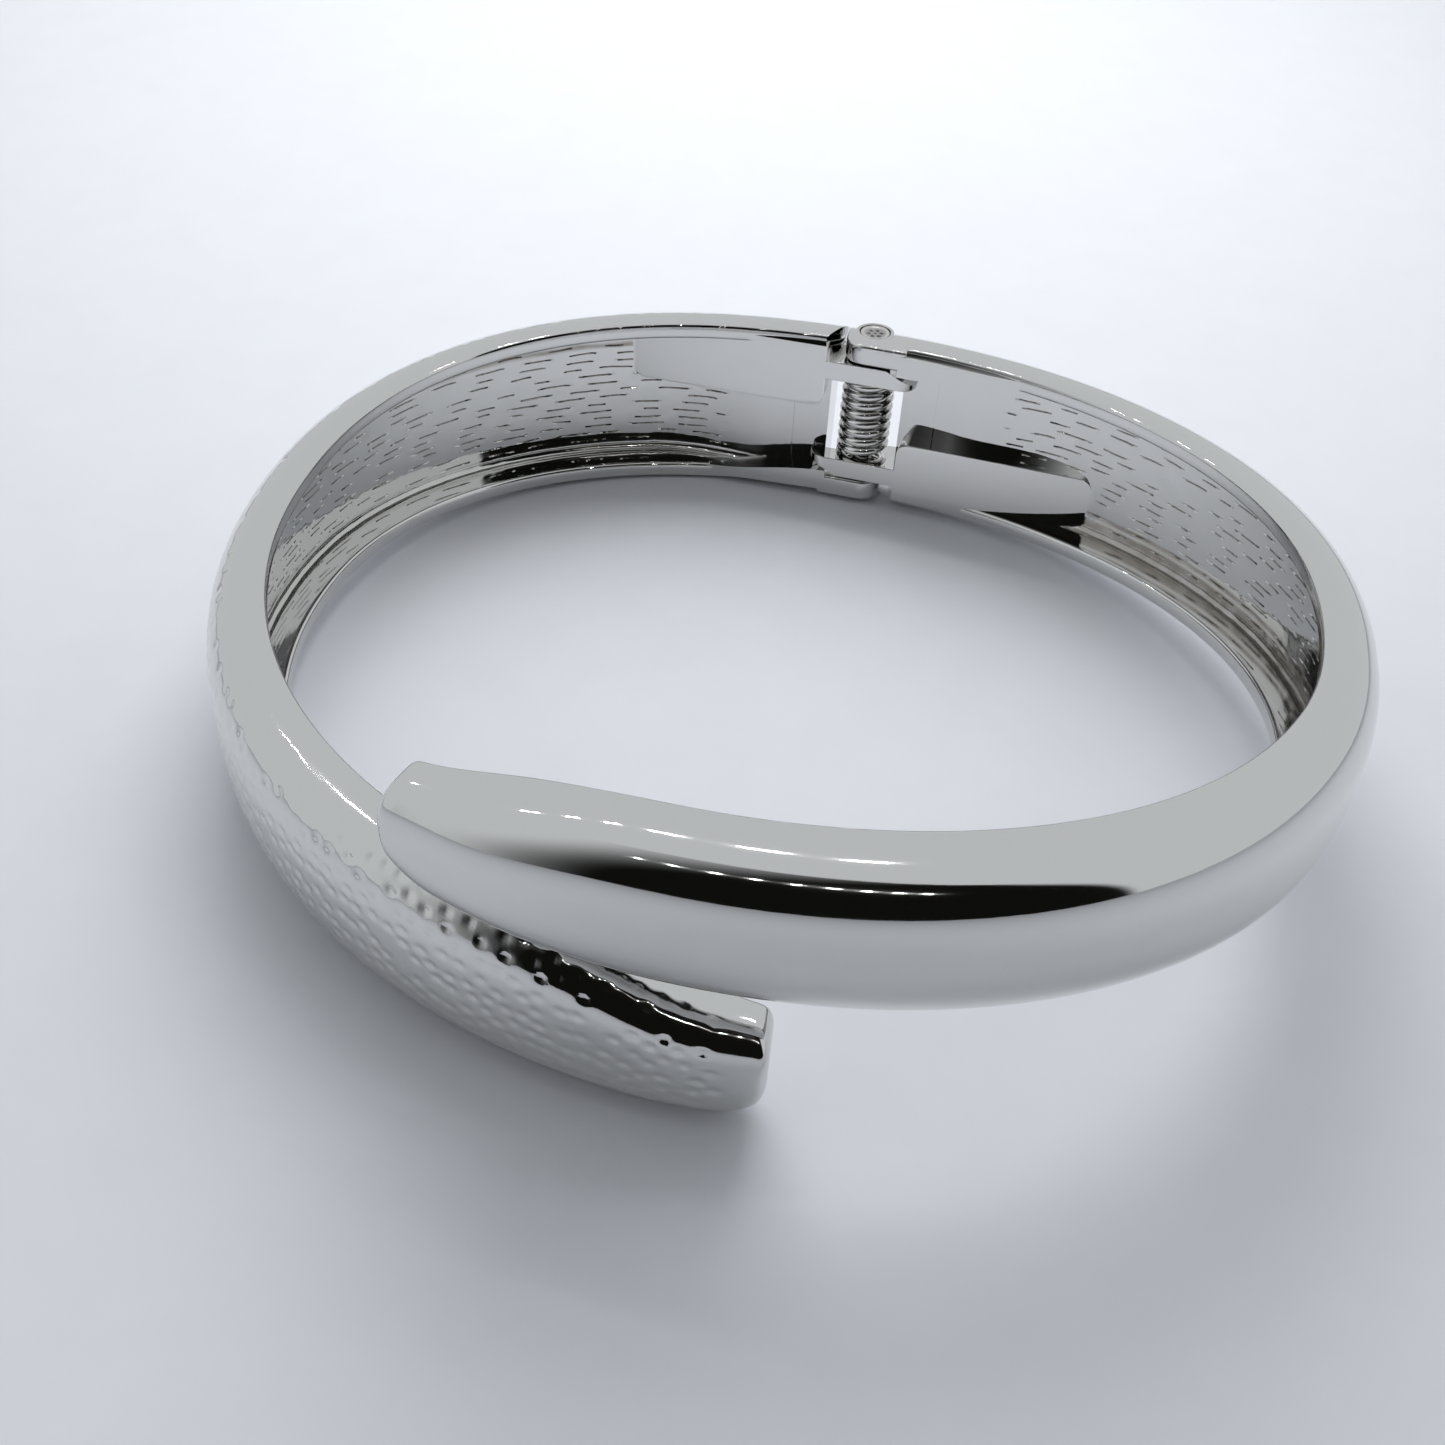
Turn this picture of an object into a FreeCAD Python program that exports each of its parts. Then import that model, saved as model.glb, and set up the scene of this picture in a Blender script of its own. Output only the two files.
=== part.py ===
import FreeCAD, Part
import os
from math import cos, degrees, radians, sin, sqrt

V = FreeCAD.Vector
os.makedirs("parts", exist_ok=True)

# A hinged bypass bangle. Two cast arms meet at a sprung pin at the back (+Y) and pass one
# above the other at the front (-Y). Millimetres, +Z up. While it is being built, z = 0 is
# the underside of the rim at the hinge and the wrist opening is centred on the z axis.

# ---- wrist opening and band ----
opening_half_x = 29.0       # wrist opening, half its long axis
opening_half_y = 23.6       # wrist opening, half its short axis
opening_power = 2.15        # 2 is an ellipse, more is squarer
band_height = 11.8          # height of both arms at the hinge
band_depth = 3.55           # inner edge to the crown of the outer dome
band_swell = 0.45           # extra depth of the rounder front
hinge_power = 4.4           # squareness of the dome at the hinge: 2 is round
front_power = 3.2           # and at the front
lip_height = 1.05           # rim lips above and below the channel
channel_depth = 2.3         # how far the channel goes into the band
hinge_channel = 1.15        # how far it goes in next to the hinge, where the wall is thicker
channel_chamfer = 0.5       # sloped corner between channel wall and ledge
station_step = 7.5          # degrees between the sections of an arm

# ---- hinge ----
# y sizes here are from the pin axis; "front" is towards the wrist
pin_inset = 1.72            # pin axis outside the inner edge
pin_radius = 0.70
head_radius = 1.00
head_height = 0.45
running_clear = 0.05        # radial, pin in the half that turns on it
head_clear = 0.07           # radial, head in its counterbore
flush_depth = 0.03          # heads sit this far below the ear faces
ear_height = 1.45
ear_front = 2.30            # ear's inner face
ear_back = 1.80
ear_reach = 1.70            # ear past the pin axis
ear_round = 1.50            # plan radius of the ear's end corners
ear_root = 2.6              # where the ear meets the arm's rim
pad_wall = 0.20             # raised round pad outside the head's counterbore
rib_height = 1.85           # thick part of the rim next to the ear
rib_length = 10.0           # where that thick part has sloped away
rib_drop = 0.35             # top of the rib below the rim
rib_turn = 20.5             # degrees from the hinge to where the rib's face meets the rim
rim_gap = 2.12              # pin axis to the slanted end of the other arm's rim
rim_slant = 20.0            # degrees that this end leans in plan
knuckle_height = 1.35
axial_clear = 0.10          # between an ear and the knuckle next to it
window_half = 2.5           # half width of the gap the spring shows in
knuckle_reach = 3.4         # knuckle tip past the pin axis
knuckle_round = 1.1         # plan radius of the knuckle tip
knuckle_front = 2.25        # knuckle's and boss's inner face
knuckle_radius = 1.75       # knuckle round the pin
knuckle_tip = 0.30          # thickness left at the tapered tip
stop_clear = 0.20           # knuckle tip to the channel wall it stops against
boss_height = 3.95          # boss above the lip
boss_turn = 31.0            # degrees from the hinge to where the boss fades into the wall
boss_start = 2.75           # near end of the boss
boss_corner = 0.9           # rounded top corners of the boss

# ---- spring ----
wire_radius = 0.29
coil_radius = 1.53          # to the middle of the wire
coil_pitch = 0.74
spring_gap = 0.06           # coil to the knuckle above and below
leg_depth = 0.7             # bent end inside its knuckle
leg_clear = 0.05

# ---- the two arms ----
# tip        where the arm ends, degrees round from the hinge
# rise       how far its outer edge climbs away from the other arm, and from where to where
# sweep      how far its other edge climbs to clear the other arm, and from where to where
# flare      how far the tip stands outside the oval, and from where
# nose       extra slope of the edge facing away (far) or towards (near) the other arm
# nose_from  where the tip starts to taper
# corner     radius of the end's corner on each of those edges
plain = dict(tip=200.2, rise=2.9, rise_span=(75, 185), sweep=6.5, sweep_span=(19, 205),
             flare=2.2, flare_from=109, nose_far=1.2, nose_near=0.9, nose_from=176,
             channel_end=176, corner_near=2.6, corner_far=1.0)
hammered = dict(tip=192.5, rise=5.2, rise_span=(75, 185), sweep=7.0, sweep_span=(19, 205),
                flare=0.4, flare_from=109, nose_far=0.3, nose_near=3.2, nose_from=160,
                channel_end=166, corner_near=0.8, corner_far=2.6)
tip_thinning = 1.3          # how much thinner the band is at a tip
tip_length = 16.0           # degrees over which it thins


def smooth(value, start, end):
    """0 before start, 1 after end, with a smooth step between."""
    t = min(max((value - start) / (end - start), 0.0), 1.0)
    return t * t * (3.0 - 2.0 * t)


def oval(turn, offset):
    """Point and outward normal at a distance outside the wrist opening.
    turn is in degrees from the hinge, positive towards +X."""
    a, b, n = opening_half_x, opening_half_y, opening_power
    c, s = cos(radians(90 - turn)), sin(radians(90 - turn))
    k = (abs(c) ** n + abs(s) ** n) ** (-1.0 / n)
    nx = (abs(k * c) ** (n - 1)) / a * (1 if c >= 0 else -1)
    ny = (abs(k * s) ** (n - 1)) / b * (1 if s >= 0 else -1)
    length = sqrt(nx * nx + ny * ny)
    nx, ny = nx / length, ny / length
    return V(a * k * c + nx * offset, b * k * s + ny * offset, 0), V(nx, ny, 0)


pin_y = opening_half_y + pin_inset
pin_x = 0.0
knuckle_floor = ear_height + axial_clear
knuckle_top = knuckle_floor + knuckle_height
knuckle_back = hinge_channel - pin_inset - stop_clear
boss_top = lip_height + boss_height


def dome_points(roundness):
    """Unit outline of the dome, (outward, up). roundness is 0 at the hinge, 1 in front."""
    points = []
    for i in range(-10, 11):
        t = radians(90) * (1 - (1 - abs(i) / 10.0) ** 1.5)
        out, up = [(1 - roundness) * max(wave, 0.0) ** (2 / hinge_power)
                   + roundness * max(wave, 0.0) ** (2 / front_power) for wave in (cos(t), sin(t))]
        points.append((out, up * (1 if i > 0 else -1)))
    return points


def dome_knots():
    """How far along the outline each point lies. Every section shares these, so the
    arm's surface has no ripples."""
    points, along = dome_points(0.5), [0.0]
    for (o0, u0), (o1, u1) in zip(points, points[1:]):
        step = sqrt((band_depth * (o1 - o0)) ** 2 + (band_height / 2 * (u1 - u0)) ** 2)
        along.append(along[-1] + step)
    return [length / along[-1] for length in along]


def edges_at(arm, turn):
    """Lower edge, upper edge, outward shift and dome depth of an arm."""
    nose = smooth(turn, arm["nose_from"], arm["tip"]) ** 1.5
    low = arm["sweep"] * smooth(turn, *arm["sweep_span"]) + arm["nose_near"] * nose
    high = band_height + arm["rise"] * smooth(turn, *arm["rise_span"]) - arm["nose_far"] * nose
    thin = smooth(turn, arm["tip"] - tip_length, arm["tip"]) ** 2
    shift = arm["flare"] * smooth(turn, arm["flare_from"], 185) + 0.6 * tip_thinning * thin
    depth = band_depth + band_swell * smooth(turn, 100, 165) - tip_thinning * thin
    return low, high, shift, depth


def band_section(arm, turn):
    """D-shaped closed outline across the band."""
    low, high, shift, depth = edges_at(arm, turn)
    middle, half = (low + high) / 2, (high - low) / 2
    points = [oval(turn, shift + depth * out)[0] + V(0, 0, middle + half * up)
              for out, up in dome_points(smooth(turn, 20, 120))]
    curve = Part.BSplineCurve()
    curve.interpolate(Points=points, Parameters=dome_knots())
    return Part.Wire([curve.toShape(), Part.makeLine(points[-1], points[0])])


def stations(first, last):
    count = max(2, int(round((last - first) / station_step)))
    return [first + (last - first) * i / count for i in range(count + 1)]


def channel_section(arm, turn):
    """Closed outline of the hollow inside the band, with sloped corners."""
    low, high, shift, _ = edges_at(arm, turn)
    low, high = low + lip_height, high - lip_height
    depth = hinge_channel + (channel_depth - hinge_channel) * smooth(turn, 12, 28)
    c = channel_chamfer
    corners = [(-2, low), (depth - c, low), (depth, low + c), (depth, high - c),
               (depth - c, high), (-2, high)]
    points = [oval(turn, shift + out)[0] + V(0, 0, z) for out, z in corners]
    return Part.makePolygon(points + points[:1])


def band(arm):
    """Solid D-shaped arm, starting a little past the hinge."""
    turns = stations(-9, arm["tip"])
    return Part.makeLoft([band_section(arm, t) for t in turns], True, False)


def channel(arm):
    """The hollow. It stops short of the tip, which is closed."""
    turns = stations(-9, arm["channel_end"])
    return Part.makeLoft([channel_section(arm, t) for t in turns], True, False)


def slab(x0, x1, z0, z1, y0=None, y1=None):
    y0 = opening_half_y - 8 if y0 is None else y0
    y1 = pin_y + 8 if y1 is None else y1
    return Part.makeBox(x1 - x0, y1 - y0, z1 - z0, V(x0, y0, z0))


def post(radius, z0, z1):
    return Part.makeCylinder(radius, z1 - z0, V(pin_x, pin_y, z0))


def plan_prism(corners, z0, z1, rounded=()):
    """Prism from (x, y) corners, y from the pin axis. rounded = {corner index: radius}."""
    points = [V(x, pin_y + y, z0) for x, y in corners]
    rounded = dict(rounded)
    edges, count = [], len(points)
    starts, ends = list(points), list(points)
    for i, radius in rounded.items():
        corner, before, after = points[i], points[i - 1], points[(i + 1) % count]
        to_before, to_after = (before - corner).normalize(), (after - corner).normalize()
        half_angle = to_before.getAngle(to_after) / 2
        run = radius / (sin(half_angle) / cos(half_angle))
        middle = (to_before + to_after).normalize()
        near = corner + middle * (radius / sin(half_angle) - radius)
        ends[i], starts[i] = corner + to_before * run, corner + to_after * run
        edges.append(Part.Arc(ends[i], near, starts[i]).toShape())
    for i in range(count):
        edges.append(Part.makeLine(starts[i], ends[(i + 1) % count]))
    outline = Part.Wire(Part.__sortEdges__(edges))
    return Part.Face(outline).extrude(V(0, 0, z1 - z0))


def crown(full_band, x0, x1, z1):
    """The band's outer shape, filled in towards the wrist as far as the hinge parts go."""
    front = slab(x0, x1, 0, z1, pin_y - knuckle_front - 1, opening_half_y + 0.5)
    return full_band.fuse(front)


def ear(full_band):
    """Ear at the top of the arm, round the pin, with rounded end corners. Its back
    follows the band's dome."""
    corners = [(-ear_reach, -ear_front), (ear_root, -ear_front), (ear_root, ear_back),
               (-ear_reach, ear_back)]
    block = plan_prism(corners, band_height - ear_height, band_height,
                       {0: ear_round, 3: ear_round})
    pad = post(head_radius + head_clear + pad_wall, band_height - ear_height, band_height)
    return block.common(crown(full_band, -3, 4, band_height)).fuse(pad)


def rib(full_band):
    """Thicker rim from the ear on. It is as proud as the ear there, and slopes away to the
    rim's inner edge and to the height of the lip."""
    top = band_height - rib_drop
    side = [V(ear_root - 0.5, 0, top), V(ear_root - 0.5, 0, band_height - rib_height),
            V(window_half + 1.0, 0, band_height - rib_height),
            V(rib_length, 0, band_height - lip_height), V(rib_length, 0, top)]
    wedge = Part.Face(Part.makePolygon(side + side[:1])).extrude(V(0, 60, 0))
    far, near = oval(rib_turn, 0.02)[0], (ear_root - 0.5, -ear_front)
    behind = hinge_channel + 0.5 - pin_inset
    plan = plan_prism([near, (far.x, far.y - pin_y), (far.x, behind), (near[0], behind)],
                      band_height - rib_height, top)
    return wedge.common(plan).common(crown(full_band, near[0], 12, band_height))


def knuckle():
    """Leaf that reaches past the pin into the other arm's channel. Its tip meets the
    back wall of that channel when the bangle is shut, and thins away from the spring."""
    front, back, root = -knuckle_front, knuckle_back, boss_start + 0.8
    leaf = plan_prism([(-knuckle_reach, front), (root, front), (root, back),
                       (-knuckle_reach, back)], knuckle_floor, knuckle_top,
                      {0: knuckle_round, 3: 0.3})
    neck = slab(0, root, knuckle_floor, knuckle_top, pin_y + front, pin_y + knuckle_radius / 2)
    leaf = leaf.fuse([neck, post(knuckle_radius, knuckle_floor, knuckle_top)])
    slope = [V(-knuckle_radius + 0.5, 0, knuckle_floor), V(-knuckle_reach, 0, knuckle_top - knuckle_tip),
             V(-knuckle_reach - 1, 0, knuckle_top - knuckle_tip), V(-knuckle_reach - 1, 0, 0),
             V(-knuckle_radius + 0.5, 0, 0)]
    return leaf.cut(Part.Face(Part.makePolygon(slope + slope[:1])).extrude(V(0, 60, 0)))


def boss(full_band):
    """Flat-faced block in the lower part of the channel. Its face runs on from the
    knuckle's as a chord, and stands proud of the rim near the hinge."""
    fade = oval(boss_turn, channel_depth + 0.02)[0]
    far, near = (fade.x, fade.y - pin_y), (boss_start, -knuckle_front)
    behind = channel_depth + 0.5 - pin_inset
    block = plan_prism([near, far, (fade.x, behind), (boss_start, behind)],
                       lip_height / 2, boss_top)
    for x, side in ((fade.x, 1), (boss_start, -1)):
        at = V(x - side * boss_corner, 0, boss_top - boss_corner)
        square = Part.makeBox(3 * boss_corner, 60, 3 * boss_corner,
                              at if side > 0 else at - V(3 * boss_corner, 0, 0))
        block = block.cut(square.cut(Part.makeCylinder(boss_corner, 60, at, V(0, 1, 0))))
    return block.common(crown(full_band, boss_start, 12, boss_top))


def rim_end():
    """Fills the rim's slanted end up to the knuckle above it."""
    end = slab(0, boss_start + 0.3, lip_height - 0.1, knuckle_floor + 0.05, opening_half_y,
               pin_y - pin_inset + hinge_channel + 0.2)
    return end.cut(slanted_end(knuckle_floor + 1))


def tip_corners(arm):
    """What is cut from the end of an arm to round its two corners."""
    low, high, _, _ = edges_at(arm, arm["tip"])
    end, out = oval(arm["tip"], 0)
    along = V(0, 0, 1).cross(out) * -1
    cutters = []
    for edge, radius, up in ((low, arm["corner_near"], 1), (high, arm["corner_far"], -1)):
        centre = end - along * radius + V(0, 0, edge + up * radius) - out * 5
        square = [centre, centre + along * 2 * radius, centre + along * 2 * radius
                  - V(0, 0, 2 * up * radius), centre - V(0, 0, 2 * up * radius)]
        block = Part.Face(Part.makePolygon(square + square[:1])).extrude(out * 15)
        cutters.append(block.cut(Part.makeCylinder(radius, 15, centre, out)))
    return cutters


def pin_bores(press):
    """Bores and counterbore in the ear (top) and the knuckle of one arm."""
    radius = pin_radius + (0.0 if press else running_clear)
    bore = post(radius, -1, band_height + 1)
    counterbore = post(head_radius + head_clear, band_height - flush_depth - head_height
                       - flush_depth, band_height + 1)
    return [bore, counterbore]


def hinge_clearance():
    """What is cut from an arm's own band so that the other arm can turn there."""
    top_zone = band_height - ear_height
    return [slab(-12, window_half, ear_height, top_zone),
            slab(-12, 0.5, top_zone, band_height + 3), slanted_end(ear_height)]


def slanted_end(top):
    """What is cut away in front of the rim's slanted end, up to a height."""
    box = Part.makeBox(20, 40, top + 3, V(rim_gap - 20, -20, -3))
    box.rotate(V(0, 0, 0), V(0, 0, 1), rim_slant)
    box.translate(V(pin_x, pin_y, 0))
    return box


def leg_hole():
    return Part.makeCylinder(wire_radius + leg_clear, knuckle_height,
                             V(-coil_radius, pin_y, knuckle_top - leg_depth - leg_clear))


def half(arm, press):
    """One arm: band, channel, boss, rib, ear and knuckle in one casting."""
    full = band(arm)
    solid = full.cut(channel(arm)).fuse([boss(full), rib(full)])
    for cutter in hinge_clearance() + tip_corners(arm):
        solid = solid.cut(cutter)
    solid = solid.fuse([ear(full), knuckle(), rim_end()])
    for cutter in pin_bores(press) + [leg_hole()]:
        solid = solid.cut(cutter)
    return solid.removeSplitter()


def turned_over(shape):
    """The second arm is the same casting turned over about the line through the hinge."""
    shape = shape.copy()
    shape.rotate(V(0, 0, band_height / 2), V(0, 1, 0), 180)
    return shape


def hinge_pin():
    low, high = flush_depth, band_height - flush_depth
    solid = post(pin_radius, low, high)
    heads = [post(head_radius, low, low + head_height), post(head_radius, high - head_height, high)]
    dimple = Part.makeCone(0.0, 0.35, 0.2, V(pin_x, pin_y, high - 0.2))
    return solid.fuse(heads).cut(dimple).removeSplitter()


def torsion_spring():
    """Coil round the pin. Its two ends are bent along the axis into the knuckles."""
    low = knuckle_top + spring_gap + wire_radius
    high = band_height - low
    turns = int((high - low) / coil_pitch) + 0.5
    pitch = (high - low) / turns
    helix = Part.makeHelix(pitch, high - low, coil_radius)
    helix.rotate(V(0, 0, 0), V(0, 0, 1), 180)
    helix.translate(V(pin_x, pin_y, low))
    start = V(pin_x - coil_radius, pin_y, low)
    end = V(pin_x + coil_radius, pin_y, high)
    profile = Part.Wire(Part.makeCircle(wire_radius, start, V(0, 1, 0)))
    coil = Part.Wire(helix.Edges).makePipeShell([profile], True, True)
    leg = leg_depth + spring_gap + wire_radius
    legs = [Part.makeCylinder(wire_radius, leg, start, V(0, 0, -1)),
            Part.makeCylinder(wire_radius, leg, end, V(0, 0, 1))]
    knees = [Part.makeSphere(wire_radius + 0.01, start), Part.makeSphere(wire_radius + 0.01, end)]
    return coil.fuse(legs + knees)


shapes = {
    "plain_half": half(plain, press=False),
    "hammered_half": turned_over(half(hammered, press=True)),
    "hinge_pin": hinge_pin(),
    "torsion_spring": torsion_spring(),
}

# The row's origin is the bottom centre of the whole bangle's bounding box.
box = Part.makeCompound(list(shapes.values())).optimalBoundingBox(True, False)
shift = V(-(box.XMin + box.XMax) / 2, -(box.YMin + box.YMax) / 2, -box.ZMin)
for name, shape in shapes.items():
    shape.translate(shift)
    shape.exportStep("parts/%s.step" % name)
    print(name, "valid", shape.isValid(), "solids", len(shape.Solids),
          "mm3 %.1f" % shape.Volume)
print("size %.3f %.3f %.3f" % (box.XLength, box.YLength, box.ZLength))
print("shift %.4f %.4f %.4f" % (shift.x, shift.y, shift.z))
print("hinge axis at x %.4f y %.4f" % (pin_x + shift.x, pin_y + shift.y))
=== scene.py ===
# %% [markdown]
# # A sprung bypass bangle
# The real object is two plated castings that meet at a pin at the back and pass one above
# the other at the front. The arms are one rule each: a D-shaped section that follows an oval
# while its edges climb. So both arms are swept by Geometry Nodes, the hammered dimples and
# the engraved dashes are pressed into them by more node trees, and the hinge parts are added
# with booleans. Everything is in metres, in the frame of the CAD model.

# %% Load the fixed frame
import bpy
import bmesh
from math import acos, cos, degrees, pi, radians, sin, sqrt
from mathutils import Matrix, Vector


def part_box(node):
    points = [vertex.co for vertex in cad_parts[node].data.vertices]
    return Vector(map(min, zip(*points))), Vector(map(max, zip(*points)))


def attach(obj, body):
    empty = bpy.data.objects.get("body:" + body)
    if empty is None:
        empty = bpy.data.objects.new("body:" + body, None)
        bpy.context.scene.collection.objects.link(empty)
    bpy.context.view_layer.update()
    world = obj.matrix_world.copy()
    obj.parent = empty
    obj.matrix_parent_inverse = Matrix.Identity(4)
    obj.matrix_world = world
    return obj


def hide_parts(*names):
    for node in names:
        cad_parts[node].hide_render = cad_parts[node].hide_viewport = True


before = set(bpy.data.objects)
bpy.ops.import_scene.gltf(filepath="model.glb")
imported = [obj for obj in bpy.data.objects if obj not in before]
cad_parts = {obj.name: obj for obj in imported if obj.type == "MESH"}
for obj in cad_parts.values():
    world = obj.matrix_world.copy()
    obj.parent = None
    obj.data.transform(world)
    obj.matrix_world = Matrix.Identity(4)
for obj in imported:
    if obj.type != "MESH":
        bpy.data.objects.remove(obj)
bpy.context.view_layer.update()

MM = 0.001

# %% [markdown]
# ## The sizes of the bangle
# A casting is designed on a flat drawing first: the wrist opening is an oval, a little
# squarer than an ellipse, and the band is measured outwards from it. These are the same sizes
# that the solid model has. Only the place of the drawing on the row's frame is read from the
# frame itself, from where the pin stands.

# %% Sizes in millimetres
OPENING_X, OPENING_Y, OPENING_POWER = 29.0, 23.6, 2.15
BAND_HEIGHT, BAND_DEPTH, BAND_SWELL = 11.8, 3.55, 0.45
HINGE_POWER, FRONT_POWER = 4.4, 3.2
LIP, CHANNEL_DEPTH, HINGE_CHANNEL, EDGE_ROUND = 1.05, 2.3, 1.15, 0.22
PIN_INSET, PIN_RADIUS, HEAD_RADIUS, HEAD_HEIGHT, FLUSH = 1.72, 0.70, 1.00, 0.45, 0.03
BORE_CLEAR, HEAD_CLEAR = 0.05, 0.07
EAR_HEIGHT, EAR_FRONT, EAR_BACK, EAR_REACH, EAR_ROOT = 1.45, 2.30, 1.80, 1.70, 2.6
RIB_HEIGHT, RIB_LENGTH, RIM_GAP, RIM_SLANT = 1.85, 10.0, 2.12, 20.0
RIB_DROP, RIB_TURN, PAD_WALL = 0.35, 20.5, 0.20
KNUCKLE_HEIGHT, AXIAL_CLEAR, WINDOW = 1.35, 0.10, 2.5
KNUCKLE_REACH, KNUCKLE_FRONT, KNUCKLE_RADIUS, KNUCKLE_TIP = 3.4, 2.25, 1.75, 0.30
BOSS_HEIGHT, BOSS_TURN, BOSS_START, BOSS_ROUND = 3.95, 31.0, 2.75, 0.9
WIRE, COIL_RADIUS, COIL_PITCH, COIL_GAP, LEG = 0.29, 1.53, 0.74, 0.06, 0.7
TIP_THIN, TIP_SPAN = 1.3, 16.0
FILLET, DASH_ROWS, ROW_HALF = 0.55, 15, 0.016
DIMPLED_FROM = 0.42         # share of the dome's depth beyond which it is dimpled
CASTING_CREASE, SMALL_CREASE = 38, 50       # degrees at which an edge is shaded sharp

SMOOTH_ARM = dict(tip=200.2, rise=2.9, rise_span=(75, 185), sweep=6.5, sweep_span=(19, 205),
                  flare=2.2, flare_from=109, nose_far=1.2, nose_near=0.9, nose_from=176,
                  channel_end=176, corner_near=2.6, corner_far=1.0)
DIMPLED_ARM = dict(tip=192.5, rise=5.2, rise_span=(75, 185), sweep=7.0, sweep_span=(19, 205),
                   flare=0.4, flare_from=109, nose_far=0.3, nose_near=3.2, nose_from=160,
                   channel_end=166, corner_near=0.8, corner_far=2.6)

PIN_Y = OPENING_Y + PIN_INSET
KNUCKLE_FLOOR = EAR_HEIGHT + AXIAL_CLEAR
KNUCKLE_TOP = KNUCKLE_FLOOR + KNUCKLE_HEIGHT
KNUCKLE_BACK = HINGE_CHANNEL - PIN_INSET - 0.20
pin_low, pin_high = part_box("hinge_pin")
TO_ROW = Matrix.Translation(((pin_low[0] + pin_high[0]) / 2,
                             (pin_low[1] + pin_high[1]) / 2 - PIN_Y * MM,
                             pin_low[2] - FLUSH * MM)) @ Matrix.Scale(MM, 4)
TURN_OVER = Matrix.Rotation(pi, 4, "Y")
TURN_OVER.translation = Vector((0, 0, BAND_HEIGHT))
print("drawing sits at", tuple(round(v, 5) for v in TO_ROW.translation))

# %% [markdown]
# ## The rule of an arm
# The oval gives a point and an outward direction for every turn around the wrist. A second
# function gives how high the band's two edges are there, how far it flares out and how thick
# it is. The band thins and its corners round off over the last few millimetres, as a file and
# a polishing wheel leave them.


# %% The oval and the edges of the band
def smooth(value, start, end):
    t = min(max((value - start) / (end - start), 0.0), 1.0)
    return t * t * (3.0 - 2.0 * t)


def oval(turn, offset=0.0):
    c, s = cos(radians(90 - turn)), sin(radians(90 - turn))
    n = OPENING_POWER
    k = (abs(c) ** n + abs(s) ** n) ** (-1.0 / n)
    nx = abs(k * c) ** (n - 1) / OPENING_X * (1 if c >= 0 else -1)
    ny = abs(k * s) ** (n - 1) / OPENING_Y * (1 if s >= 0 else -1)
    out = Vector((nx, ny, 0)).normalized()
    return Vector((OPENING_X * k * c, OPENING_Y * k * s, 0)) + out * offset, out


def rounding(radius, distance):
    """How far a rounded corner pulls in, at a distance from the end."""
    if distance >= radius:
        return 0.0
    return radius - sqrt(radius * radius - (radius - distance) ** 2)


def edges_at(arm, turn, to_end):
    nose = smooth(turn, arm["nose_from"], arm["tip"]) ** 1.5
    low = arm["sweep"] * smooth(turn, *arm["sweep_span"]) + arm["nose_near"] * nose
    high = BAND_HEIGHT + arm["rise"] * smooth(turn, *arm["rise_span"]) - arm["nose_far"] * nose
    thin = smooth(turn, arm["tip"] - TIP_SPAN, arm["tip"]) ** 2
    shift = arm["flare"] * smooth(turn, arm["flare_from"], 185) + 0.6 * TIP_THIN * thin
    low += rounding(arm["corner_near"], to_end)
    high -= rounding(arm["corner_far"], to_end)
    return low, high, shift, BAND_DEPTH + BAND_SWELL * smooth(turn, 100, 165) - TIP_THIN * thin


def speed(turn):
    return (oval(turn + 0.5, 1.7)[0] - oval(turn - 0.5, 1.7)[0]).length


print("band is %.1f mm high at the hinge" % (edges_at(SMOOTH_ARM, 0, 99)[1]))

# %% [markdown]
# ## A small helper for node trees
# A Geometry Nodes tree can be built in a script node by node. This helper keeps that short:
# it adds a node, sets its options, and fills each input with a number or with the output of
# another node. Every tree starts with named inputs, so a reader can turn its sizes in the
# modifier panel, and ends in Realize Instances and Set Material.


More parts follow.
